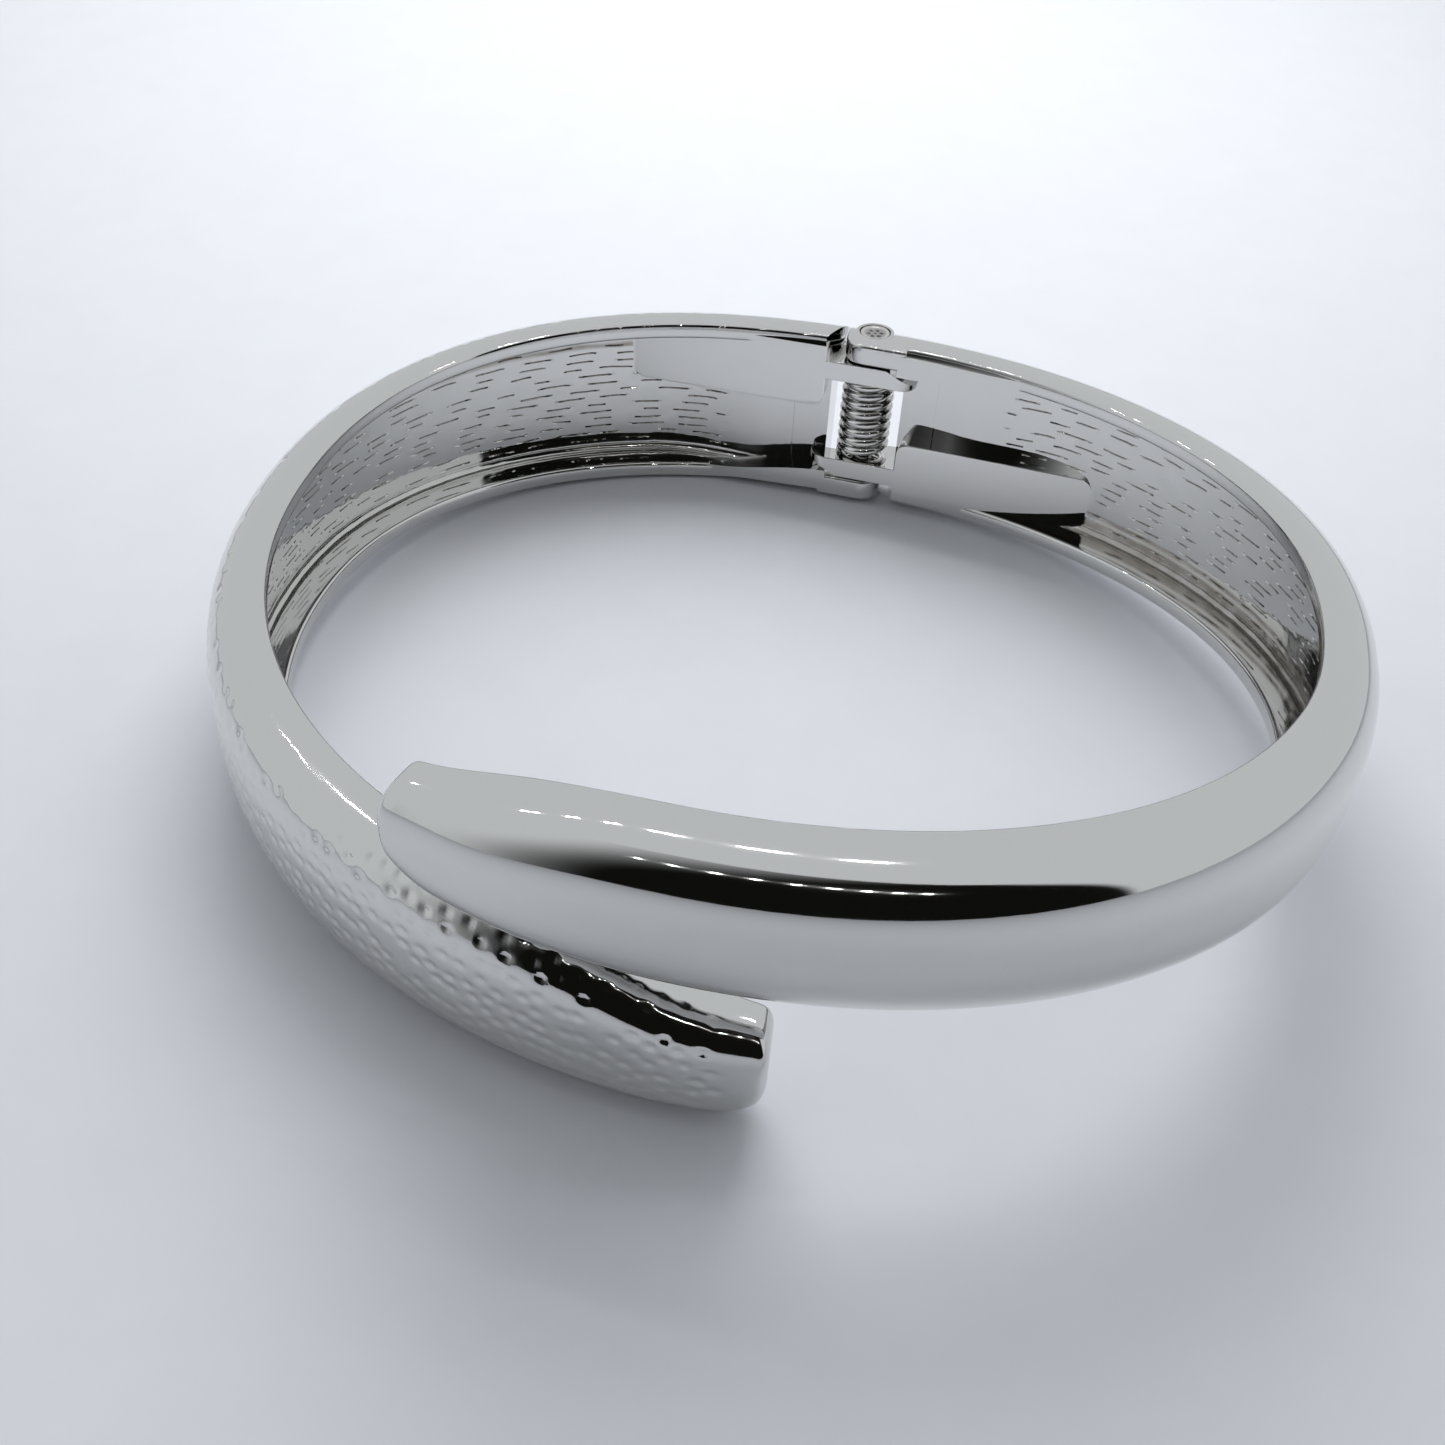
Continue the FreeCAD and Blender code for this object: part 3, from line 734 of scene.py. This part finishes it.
def prism(name, outline, low, high, soft=0.0):
    """Upright prism. low and high may be functions of x, so a face can slope."""
    level = lambda rule, x: rule(x) if callable(rule) else rule
    bm = bmesh.new()
    floor = [bm.verts.new((p[0], PIN_Y + p[1], level(low, p[0]))) for p in outline]
    roof = [bm.verts.new((p[0], PIN_Y + p[1], level(high, p[0]))) for p in outline]
    bm.faces.new(floor)
    bm.faces.new(roof)
    for i in range(len(outline)):
        j = (i + 1) % len(outline)
        bm.faces.new((floor[i], floor[j], roof[j], roof[i]))
    bmesh.ops.recalc_face_normals(bm, faces=bm.faces[:])
    if soft:
        sharp = [e for e in bm.edges if e.calc_face_angle(0) > 0.9]
        bmesh.ops.bevel(bm, geom=sharp, offset=soft, segments=3, profile=0.5, affect="EDGES",
                        clamp_overlap=True)
    bmesh.ops.triangulate(bm, faces=[f for f in bm.faces if len(f.verts) > 4])
    return to_object(name, bm)


def post(name, radius, low, high, x=0.0, y=0.0, sides=64):
    ring = [(x + radius * cos(2 * pi * i / sides), y + radius * sin(2 * pi * i / sides))
            for i in range(sides)]
    return prism(name, ring, low, high)


def block(name, x0, x1, z0, z1, y0=-9.0, y1=9.0, lean=0.0):
    ring = [Matrix.Rotation(lean, 2) @ Vector(p) for p in ((x0, y0), (x1, y0), (x1, y1), (x0, y1))]
    return prism(name, ring, z0, z1)


print("prism helper ready")

# %% [markdown]
# ## The hinge end of a casting
# Each arm ends in an ear with a round pad for the head of the pin. Under it hangs a proud rib,
# and on the other arm's side a thin knuckle goes round the pin. A flat boss stands in the
# channel beside the coil. All of them are prisms with soft edges that overlap the band a
# little, so that the booleans that join them have no faces lying on each other.

# %% Ear, rib, knuckle and boss
def wall_line(turns, offset):
    points = [oval(turn, offset)[0] for turn in turns]
    return [(p.x, p.y - PIN_Y) for p in points]


def wall_y(x, offset):
    """y, from the pin, of a line at an offset outside the wrist opening."""
    turn = 0.0
    while oval(turn, offset)[0].x < x and turn < 60:
        turn += 0.1
    return oval(turn, offset)[0].y - PIN_Y


def ear_piece(blank):
    """The ear's front and end are soft; its back and top follow the band's own dome."""
    ear = prism("ear", rounded_plan([(-EAR_REACH, -EAR_FRONT), (EAR_ROOT, -EAR_FRONT),
                                     (EAR_ROOT, EAR_BACK), (-EAR_REACH, EAR_BACK)],
                                    {0: 1.45, 3: 1.45}),
                BAND_HEIGHT - EAR_HEIGHT, BAND_HEIGHT, 0.2)
    filling = block("filling", -3, 4, 0, BAND_HEIGHT, -4, -PIN_INSET + 0.5)
    ear = boolean(ear, boolean(blank, filling, "UNION"), "INTERSECT")
    pad = post("pad", HEAD_RADIUS + HEAD_CLEAR + PAD_WALL, BAND_HEIGHT - EAR_HEIGHT + 0.01,
               BAND_HEIGHT - 0.001)
    return boolean(ear, pad, "UNION")


def hinge_parts(blank):
    top = BAND_HEIGHT
    ear = ear_piece(blank)
    far = oval(RIB_TURN, 0.02)[0]
    line = [Vector((EAR_ROOT - 0.5, -EAR_FRONT)), Vector((far.x, far.y - PIN_Y))]
    line = [line[0].lerp(line[1], i / 12) for i in range(13)]
    rib_floor = lambda x: top - RIB_HEIGHT + (RIB_HEIGHT - LIP) * smooth(x, 2.5, RIB_LENGTH)
    behind = wall_line([RIB_TURN - i * (RIB_TURN - 4.4) / 12 for i in range(13)], 1.7)
    rib = prism("rib", line + behind, rib_floor, top - RIB_DROP)
    front, root = -KNUCKLE_FRONT, BOSS_START + 0.8
    leaf = rounded_plan([(root, front), (-KNUCKLE_REACH, front), (-KNUCKLE_REACH, KNUCKLE_BACK),
                         (root, KNUCKLE_BACK)], {1: 1.1, 2: 0.3})
    leaf = prism("leaf", leaf, KNUCKLE_FLOOR, KNUCKLE_TOP, 0.06)
    slope = lambda x: KNUCKLE_FLOOR + ((KNUCKLE_HEIGHT - KNUCKLE_TIP) * (-x - 1.25)
                                       / (KNUCKLE_REACH - 1.25))
    wedge = prism("wedge", [(-6, -9), (-1.25, -9), (-1.25, 9), (-6, 9)], 0.1, slope)
    leaf = boolean(leaf, wedge, "DIFFERENCE")
    neck = block("neck", 0, root, KNUCKLE_FLOOR, KNUCKLE_TOP - 0.002, front + 0.1,
                 KNUCKLE_RADIUS / 2)
    collar = post("collar", KNUCKLE_RADIUS, KNUCKLE_FLOOR, KNUCKLE_TOP - 0.001, sides=72)
    rim_end = block("rim_end", RIM_GAP - 1, BOSS_START + 0.3, LIP - 0.1, KNUCKLE_FLOOR + 0.05,
                    -PIN_INSET, -PIN_INSET + HINGE_CHANNEL + 0.2)
    rim_end = boolean(rim_end, slanted_end(KNUCKLE_FLOOR + 1), "DIFFERENCE")
    return [ear, rib, leaf, neck, collar, rim_end, boss_block()]


def slanted_end(top):
    return block("slant", -20, RIM_GAP, -3, top, -20, 20, radians(RIM_SLANT))


def boss_block():
    """The flat-faced block, with its two top corners rounded in the side view."""
    fade = oval(BOSS_TURN, CHANNEL_DEPTH + 0.02)[0]
    near, far = Vector((BOSS_START, -KNUCKLE_FRONT)), Vector((fade.x, fade.y - PIN_Y))
    top, r = LIP + BOSS_HEIGHT, BOSS_ROUND
    side = [(BOSS_START, LIP * 0.5)]
    side += [(BOSS_START + 0.8 * (1 - cos(a)), top - 0.8 * (1 - sin(a)))
             for a in [pi / 2 * i / 8 for i in range(9)]]
    side += [(BOSS_START + 3.0 * i, top) for i in (1, 2, 3)]
    side += [(fade.x - r + r * sin(a), top - r * (1 - cos(a))) for a in
             [pi / 2 * i / 8 for i in range(9)]]
    side += [(fade.x, LIP * 0.5)]
    bm = bmesh.new()
    rings = []
    for depth in (0.0, 0.06, 0.2, 1.0):
        ring = []
        for x, z in side:
            share = (x - near.x) / (far.x - near.x)
            face_y = near.y + (far.y - near.y) * share
            back_y = wall_y(x, 2.5)
            grow = 0.06 * (1 - sqrt(max(0.0, 1 - (1 - min(depth / 0.2, 1)) ** 2)))
            zz = z - grow if z > LIP else z
            y = face_y + (back_y - face_y) * depth if depth in (0.0, 1.0) else face_y + depth * 0.3
            ring.append(bm.verts.new((x, PIN_Y + y, zz)))
        rings.append(ring)
    bm.faces.new(rings[0])
    bm.faces.new(rings[-1][::-1])
    for first, second in zip(rings, rings[1:]):
        for i in range(len(side)):
            j = (i + 1) % len(side)
            bm.faces.new((first[i], second[i], second[j], first[j]))
    bmesh.ops.triangulate(bm, faces=[f for f in bm.faces if len(f.verts) > 4])
    return to_object("boss", bm)


print("hinge parts ready")

# %% [markdown]
# ## Joining the casting
# The swept band runs a little past the hinge, and the room that the other arm needs is cut
# away from it. Then the ear, the rib, the knuckle and the boss are joined on and the pin's
# bores are cut through. The Manifold solver does this exactly and fast on closed meshes, and
# carries the attributes across. Faces inside a dash are then shaded flat, and the normals are
# weighed by area, so that the strokes stay crisp and the wall around them stays flat.


# %% Booleans
def boolean(obj, other, operation):
    modifier = obj.modifiers.new(operation, "BOOLEAN")
    modifier.operation, modifier.solver, modifier.object = operation, "MANIFOLD", other
    result = baked(obj, obj.name)
    old = obj.data
    drop(obj, other)
    bpy.data.meshes.remove(old)
    return result


def sweep_band(name, arm, spacing, dome_count, solid=False):
    """Object whose modifier sweeps the band, with its guide and outline."""
    outline, columns = section_outline(name + "_outline", dome_count)
    guide, rows = arm_guide(name + "_guide", arm, spacing)
    if solid:
        guide.data.attributes["hollow"].data.foreach_set("value", [0.0] * rows)
    band = placed(name, bpy.data.meshes.new(name))
    use_tree(band, SWEEP, Guide=guide, Outline=outline, Stations=rows, Material=PLATED,
             **{"Outline Points": columns})
    return band, guide, outline


def plain_solid(name, band, guide, outline):
    """Bakes the band to a closed mesh in millimetres, with its faces pointing out."""
    solid = baked(band, name)
    drop(band, guide, outline)
    solid.data.transform(Matrix.Scale(1 / MM, 4))
    bm = bmesh.new()
    bm.from_mesh(solid.data)
    if bm.calc_volume(signed=True) < 0:
        bmesh.ops.reverse_faces(bm, faces=bm.faces[:])
    bm.to_mesh(solid.data)
    print(name, "band:", len(bm.faces), "faces, %.0f mm3" % bm.calc_volume(),
          "open edges", sum(not e.is_manifold for e in bm.edges))
    bm.free()
    return solid


def casting(name, arm, spacing, dome_count, dimpled, turned):
    blank = plain_solid("blank", *sweep_band("blank", arm, 0.8, 48, solid=True))
    band, guide, outline = sweep_band(name, arm, spacing, dome_count)
    use_tree(band, DASHES, Material=PLATED, Seed=7 if turned else 19)
    if dimpled:
        use_tree(band, DIMPLES, Material=PLATED)
    solid = plain_solid(name, band, guide, outline)
    top = BAND_HEIGHT - EAR_HEIGHT
    for cutter in (block("window", -12, WINDOW, EAR_HEIGHT, top),
                   block("above", -12, 0.5, top, 16), slanted_end(EAR_HEIGHT + 0.001)):
        solid = boolean(solid, cutter, "DIFFERENCE")
    for part in hinge_parts(blank):
        solid = boolean(solid, part, "UNION")
    bore = PIN_RADIUS + (0.0 if turned else BORE_CLEAR)
    head_floor = BAND_HEIGHT - 2 * FLUSH - HEAD_HEIGHT
    line_y = wall_y(4.9, HINGE_CHANNEL)
    for cutter in (post("bore", bore, -1, 13), post("counterbore", HEAD_RADIUS + HEAD_CLEAR,
                                                    head_floor, 13),
                   post("leg_hole", WIRE + 0.05, KNUCKLE_TOP - LEG - 0.05, KNUCKLE_TOP + 0.4,
                        x=-COIL_RADIUS, sides=24),
                   block("fitting_line", 4.87, 4.94, LIP + BOSS_HEIGHT + 0.05,
                         BAND_HEIGHT - RIB_HEIGHT + 0.3, line_y - 0.2, line_y + 0.08)):
        solid = boolean(solid, cutter, "DIFFERENCE")
    solid.data.transform(TO_ROW @ TURN_OVER if turned else TO_ROW)
    solid.data.materials.clear()
    solid.data.materials.append(PLATED)
    struck = [value.value > 0.001 for value in solid.data.attributes["stroke"].data]
    crisp = [any(struck[v] for v in face.vertices) for face in solid.data.polygons]
    solid.data.set_sharp_from_angle(angle=radians(CASTING_CREASE))
    solid.data.polygons.foreach_set("use_smooth", [not flat for flat in crisp])
    shading = solid.modifiers.new("weigh_normals", "WEIGHTED_NORMAL")
    shading.mode, shading.weight, shading.keep_sharp = "FACE_AREA", 80, True
    unweighed = solid
    solid = baked(unweighed, "weighed")
    drop(unweighed)
    solid.name = solid.data.name = name
    triangles = sum(len(p.vertices) - 2 for p in solid.data.polygons)
    uses = [0] * len(solid.data.edges)
    for loop in solid.data.loops:
        uses[loop.edge_index] += 1
    print(name, "casting:", triangles, "triangles,", sum(crisp), "flat faces in dashes,",
          "edges not shared by two faces:", sum(count != 2 for count in uses))
    return solid


smooth_half = casting("smooth_arm_casting", SMOOTH_ARM, 0.28, 52, False, False)
dimpled_half = casting("dimpled_arm_casting", DIMPLED_ARM, 0.205, 92, True, True)

# %% [markdown]
# ## The closing spring
# The spring is a coil round the pin, about seven turns of plated wire, with its two ends bent
# along the pin into a hole in each knuckle. The tree lays the points of the wire out by
# number: the first and last few go along the axis and the rest round the coil. A circle is
# then swept along them.


# %% Tree: wind the spring
def spring_tree():
    t = NodeTree("WindSpring", [("Turns", "Float", 7.5), ("Height", "Float", 0.005),
                                ("Coil Radius", "Float", 0.0015),
                                ("Wire Radius", "Float", 0.0003),
                                ("Leg", "Float", 0.001), ("Points", "Int", 400),
                                ("Material", "Material", None)])
    line = t.add("GeometryNodeCurvePrimitiveLine", mode="POINTS")
    wire = t.add("GeometryNodeResampleCurve", line, named={"Count": t.given["Points"]})
    share = t.math("DIVIDE", t.add("GeometryNodeInputIndex"),
                   t.math("SUBTRACT", t.given["Points"], 1.0))
    ends = 0.02
    first = t.math("MINIMUM", t.math("DIVIDE", share, ends), 1.0)
    last = t.math("MAXIMUM", t.math("DIVIDE", t.math("SUBTRACT", share, 1.0 - ends), ends), 0.0)
    wound = t.add("ShaderNodeMapRange", share, ends, 1.0 - ends, 0.0, 1.0)
    angle = t.math("MULTIPLY", t.math("MULTIPLY", wound, t.given["Turns"]), 2 * pi)
    angle = t.math("ADD", angle, pi)
    z = t.math("MULTIPLY", wound, t.given["Height"])
    z = t.math("ADD", z, t.math("MULTIPLY", t.math("SUBTRACT", t.math("ADD", first, last), 1.0),
                                t.given["Leg"]))
    place = t.add("ShaderNodeCombineXYZ",
                  t.math("MULTIPLY", t.math("COSINE", angle), t.given["Coil Radius"]),
                  t.math("MULTIPLY", t.math("SINE", angle), t.given["Coil Radius"]), z)
    wire = t.add("GeometryNodeSetPosition", wire, named={"Position": place})
    circle = t.add("GeometryNodeCurvePrimitiveCircle", 16,
                   named={"Radius": t.given["Wire Radius"]})
    coil = t.add("GeometryNodeCurveToMesh", wire, circle, named={"Fill Caps": True})
    return t.finish(coil)


spring_low = KNUCKLE_TOP + COIL_GAP + WIRE
spring_height = BAND_HEIGHT - 2 * spring_low
turns = int(spring_height / COIL_PITCH) + 0.5
winder = placed("winder", bpy.data.meshes.new("winder"))
use_tree(winder, spring_tree(), Turns=turns, Height=spring_height * MM,
         Leg=(LEG + COIL_GAP + WIRE) * MM, Points=460, Material=WIRE_METAL,
         **{"Coil Radius": COIL_RADIUS * MM, "Wire Radius": WIRE * MM})
spring = baked(winder, "closing_spring")
drop(winder)
spring.data.transform(TO_ROW @ Matrix.Translation((0, PIN_Y, spring_low))
                      @ Matrix.Scale(1 / MM, 4))
shade_smooth(spring, SMALL_CREASE)
print("spring:", turns, "turns,", len(spring.data.polygons), "faces")

# %% [markdown]
# ## The hinge pin
# The pin is turned from steel and both of its ends are spread with a punch that leaves a ring
# and a small star of dents. It is built as a lathe shape: rings of points from one head to the
# other, with the middle of each head made of many small rings so that the dents are real. The
# dents are also darkened in colour. This is painted shade, with some real dullness of the
# punched steel.


# %% Lathe the pin and punch its heads
def punch_mark(radius, angle):
    """Depth of the punch mark in a head's middle. The pin also darkens its colour by this depth, as
    painted shade in the dents with some real dullness of the punched steel.
    """
    if radius > 0.72:
        return 0.05 * (1 - sin(pi * min((radius - 0.72) / 0.26, 1.0)))
    dish = 0.05 + 0.02 * (1 - smooth(radius, 0.58, 0.72))
    dents = 0.0
    for k in range(6):
        x, y = 0.43 * cos(k * pi / 3 + 0.3), 0.43 * sin(k * pi / 3 + 0.3)
        gap = sqrt((radius * cos(angle) - x) ** 2 + (radius * sin(angle) - y) ** 2)
        dents = max(dents, 1 - smooth(gap, 0.05, 0.19))
    dents = max(dents, 0.8 * (1 - smooth(radius, 0.04, 0.18)))
    return dish + 0.14 * dents


def lathe_pin():
    low, high, r, h = FLUSH, BAND_HEIGHT - FLUSH, PIN_RADIUS, HEAD_RADIUS
    profile = [(h * i / 26, low, True) for i in range(1, 25)]
    profile += [(h - 0.04, low, False), (h, low + 0.05, False), (h, low + HEAD_HEIGHT, False),
                (r, low + HEAD_HEIGHT, False)]
    profile += [(r, BAND_HEIGHT - z, False) for _, z, _ in profile[-1:]]
    profile += [(q, BAND_HEIGHT - z, top) for q, z, top in profile[-3::-1]
                if (q, z) != (r, low + HEAD_HEIGHT)]
    bm, sides = bmesh.new(), 96
    shade_and_dull = bm.verts.layers.float.new("recess")
    rings = []
    for radius, z, head in profile:
        ring = []
        for i in range(sides):
            a = 2 * pi * i / sides
            mark = punch_mark(radius, a) if head else 0.0
            v = bm.verts.new((radius * cos(a), PIN_Y + radius * sin(a),
                              z + (mark if z < 5 else -mark)))
            # Deeper punch marks get darker: painted shade in the dents, partly the dull punched
            # steel
            v[shade_and_dull] = min(1.0, mark / 0.14)
            ring.append(v)
        rings.append(ring)
    for first, second in zip(rings, rings[1:]):
        for i in range(sides):
            j = (i + 1) % sides
            bm.faces.new((first[i], first[j], second[j], second[i]))
    for ring, z, sign in ((rings[0], low, 1), (rings[-1], high, -1)):
        mark = punch_mark(0.0, 0.0)
        centre = bm.verts.new((0, PIN_Y, z + sign * mark))
        centre[shade_and_dull] = 1.0
        for i in range(sides):
            bm.faces.new((centre, ring[i], ring[(i + 1) % sides]))
    return to_object("punched_hinge_pin", bm)


pin = lathe_pin()
pin.data.transform(TO_ROW)
pin.data.materials.append(PIN_METAL)
shade_smooth(pin, SMALL_CREASE)
print("pin:", len(pin.data.polygons), "faces")

# %% [markdown]
# ## What each piece rides on
# The solid model keeps its own pieces for motion and contact. The castings, the spring and
# the pin stand for them here and move with the same bodies.

# %% Ride and replace
for piece, node, body, finish in (
        (smooth_half, "plain_half", "smooth_arm", "plated_casting"),
        (dimpled_half, "hammered_half", "dimpled_arm", "plated_casting"),
        (pin, "hinge_pin", "dimpled_arm", "pin_steel"),
        (spring, "torsion_spring", "dimpled_arm", "spring_steel")):
    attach(piece, body)
    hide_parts(node)
    print(piece.name, "rides on", body)

# %% [markdown]
# ## How the bangle lies
# On a table the bangle leans: its dimpled tip hangs lowest, and the rims at the back touch
# too. A body rests on the face of its convex hull that lies under its centre, so that face
# gives the tilt of the floor. The bangle itself stays where its frame says.


# %% Find the resting plane
def resting_plane(pieces):
    bm = bmesh.new()
    for piece in pieces:
        for vertex in list(piece.data.vertices)[::7]:
            bm.verts.new(vertex.co)
    centre = sum((v.co for v in bm.verts), Vector()) / len(bm.verts)
    hull = bmesh.ops.convex_hull(bm, input=bm.verts[:])
    best = None
    for face in (g for g in hull["geom"] if isinstance(g, bmesh.types.BMFace)):
        face.normal_update()
        if face.normal.z > -0.8:
            continue
        flat = [(v.co.x, v.co.y) for v in face.verts]
        turns = [(flat[i][0] - centre.x) * (flat[(i + 1) % len(flat)][1] - centre.y)
                 - (flat[(i + 1) % len(flat)][0] - centre.x) * (flat[i][1] - centre.y)
                 for i in range(len(flat))]
        if all(t <= 0 for t in turns) or all(t >= 0 for t in turns):
            best = (face.verts[0].co.copy(), -face.normal.copy())
    bm.free()
    return best


rest_point, rest_normal = resting_plane([smooth_half, dimpled_half])
print("floor leans %.1f degrees" % degrees(acos(rest_normal.z)))

# %% [markdown]
# ## Floor, light and camera
# Bright metal is only as good as what it mirrors. The bangle lies on a pale matte floor under
# a large soft white surround, as in a light tent. The tent is open towards the viewer, and
# the dark room beyond it gives the polished dome its dark band. Two rows of small lamps give
# the strings of bright points.


# %% The floor
def floor_material():
    material = bpy.data.materials.new("pale_floor")
    material.use_nodes = True
    nodes, links = material.node_tree.nodes, material.node_tree.links
    shader = nodes["Principled BSDF"]
    shader.inputs["Roughness"].default_value = 0.6
    place, texture = nodes.new("ShaderNodeTexCoord"), nodes.new("ShaderNodeTexNoise")
    texture.inputs["Scale"].default_value = 260.0
    texture.inputs["Detail"].default_value = 5.0
    links.new(place.outputs["Object"], texture.inputs["Vector"])
    ramp, bump = nodes.new("ShaderNodeMapRange"), nodes.new("ShaderNodeBump")
    ramp.inputs["To Min"].default_value, ramp.inputs["To Max"].default_value = 0.73, 0.77
    links.new(texture.outputs["Fac"], ramp.inputs["Value"])
    tint = nodes.new("ShaderNodeVectorMath")
    tint.operation = "SCALE"
    tint.inputs[0].default_value = (0.96, 0.98, 1.04)
    links.new(ramp.outputs["Result"], tint.inputs["Scale"])
    links.new(tint.outputs["Vector"], shader.inputs["Base Color"])
    bump.inputs["Strength"].default_value = 0.15
    bump.inputs["Distance"].default_value = 0.0002
    links.new(texture.outputs["Fac"], bump.inputs["Height"])
    links.new(bump.outputs["Normal"], shader.inputs["Normal"])
    return material


def lay_floor():
    bm = bmesh.new()
    bmesh.ops.create_circle(bm, cap_ends=True, radius=1.2, segments=128)
    floor = to_object("floor", bm)
    lean = rest_normal.to_track_quat("Z", "Y").to_matrix().to_4x4()
    floor.data.transform(Matrix.Translation(rest_point - rest_normal * 0.00005) @ lean)
    if floor.data.polygons[0].normal.z < 0:
        floor.data.flip_normals()
    floor.data.materials.append(floor_material())
    return floor


floor = lay_floor()
print("floor laid")

# %% [markdown]
# ## What the metal reflects
# Polished plating shows its surround more than itself. The surround is an even pale grey, as
# in a light tent, with one dark opening towards the viewer. That opening gives the long black
# reflection on the dome and leaves everything that faces upwards or sideways bright.

# %% The surround, dark towards the viewer
def light_tent():
    world = bpy.data.worlds.new("light_tent")
    bpy.context.scene.world = world
    world.use_nodes = True
    nodes, links = world.node_tree.nodes, world.node_tree.links
    place, split = nodes.new("ShaderNodeTexCoord"), nodes.new("ShaderNodeSeparateXYZ")
    links.new(place.outputs["Generated"], split.inputs["Vector"])

    def step(value, low, high):
        node = nodes.new("ShaderNodeMapRange")
        node.interpolation_type = "SMOOTHSTEP"
        node.inputs["From Min"].default_value, node.inputs["From Max"].default_value = low, high
        links.new(value, node.inputs["Value"])
        return node.outputs["Result"]

    def combine(operation, a, b):
        return math_node(world.node_tree, operation, a, b)

    x, y, z = (split.outputs[axis] for axis in "XYZ")
    reach = combine("MULTIPLY", y, -1.0)
    roof = combine("SUBTRACT", reach, combine("MULTIPLY", z, 0.24))
    right = combine("SUBTRACT", combine("MULTIPLY", reach, 3.2), x)
    left = combine("ADD", combine("MULTIPLY", reach, 0.95), x)
    sides = combine("MULTIPLY", step(right, 0.0, 0.2), step(left, -0.2, 0.7))
    opening = combine("MULTIPLY", step(roof, 0.0, 0.03), sides)
    tint = nodes.new("ShaderNodeMix")
    tint.data_type = "RGBA"
    links.new(opening, tint.inputs["Factor"])
    tint.inputs["A"].default_value = (0.65, 0.67, 0.69, 1)
    tint.inputs["B"].default_value = (0.006, 0.006, 0.005, 1)
    links.new(tint.outputs["Result"], nodes["Background"].inputs["Color"])
    nodes["Background"].inputs["Strength"].default_value = 1.0
    return world


light_tent()
print("surround ready")

# %% [markdown]
# ## Lamps
# One large soft lamp behind the bangle lights the floor and throws a pale shadow. Rows of very
# small discs in front and above give the strings of tiny bright points that polished plating
# shows under a strip of diodes.


# %% Lamps
def lamp(name, place, aim, size, power, shape="SQUARE"):
    data = bpy.data.lights.new(name, "AREA")
    data.shape, data.size, data.energy = shape, size, power
    obj = placed(name, data)
    obj.location = place
    obj.rotation_euler = (Vector(aim) - Vector(place)).to_track_quat("-Z", "Y").to_euler()
    return obj


key = lamp("key_light", (-0.03, 0.11, 0.15), (0, 0, 0), 0.14, 0.24)
key.visible_glossy = False
for i in range(12):
    pair = 0.014 * (i % 2)
    lamp("roof_led_%02d" % i, (-0.25 + 0.06 * (i // 2) + pair, 0.12, 0.40), (0, 0, 0),
         0.006, 0.010, "DISK")
for i in range(9):
    lamp("front_led_%02d" % i, (-0.05 + 0.26 * i / 8, -0.22, 0.29), (0, 0, 0), 0.004, 0.006, "DISK")

# %% [markdown]
# ## Camera
# The bangle is looked at from the front, a little from the right and about forty degrees from
# above, with the camera tipped a few degrees. The lens and the distance are short enough for
# the front of the bangle to look clearly nearer than the hinge.

# %% Camera at the viewing angle
CAMERA_MM = Vector((14.632, -72.186, 60.328))
AZIMUTH, ELEVATION, ROLL, FOCAL = 13.6, 40.46, 3.37, 39.39


def place_camera():
    data = bpy.data.cameras.new("camera")
    data.sensor_width, data.lens = 36.0, FOCAL
    data.clip_start, data.clip_end = 0.001, 10
    camera = placed("camera", data)
    az, el, roll = radians(AZIMUTH), radians(ELEVATION), radians(ROLL)
    back = Vector((sin(az) * cos(el), -cos(az) * cos(el), sin(el)))
    right = (-back).cross(Vector((0, 0, 1))).normalized()
    up = right.cross(-back)
    right, up = right * cos(roll) + up * sin(roll), up * cos(roll) - right * sin(roll)
    turn = Matrix((right, up, back)).transposed().to_4x4()
    camera.matrix_world = Matrix.Translation(TO_ROW @ CAMERA_MM) @ turn
    bpy.context.scene.camera = camera
    return camera


camera = place_camera()
view = bpy.context.scene.view_settings
view.view_transform = "Standard"
print("camera at", tuple(round(v, 4) for v in camera.matrix_world.translation))
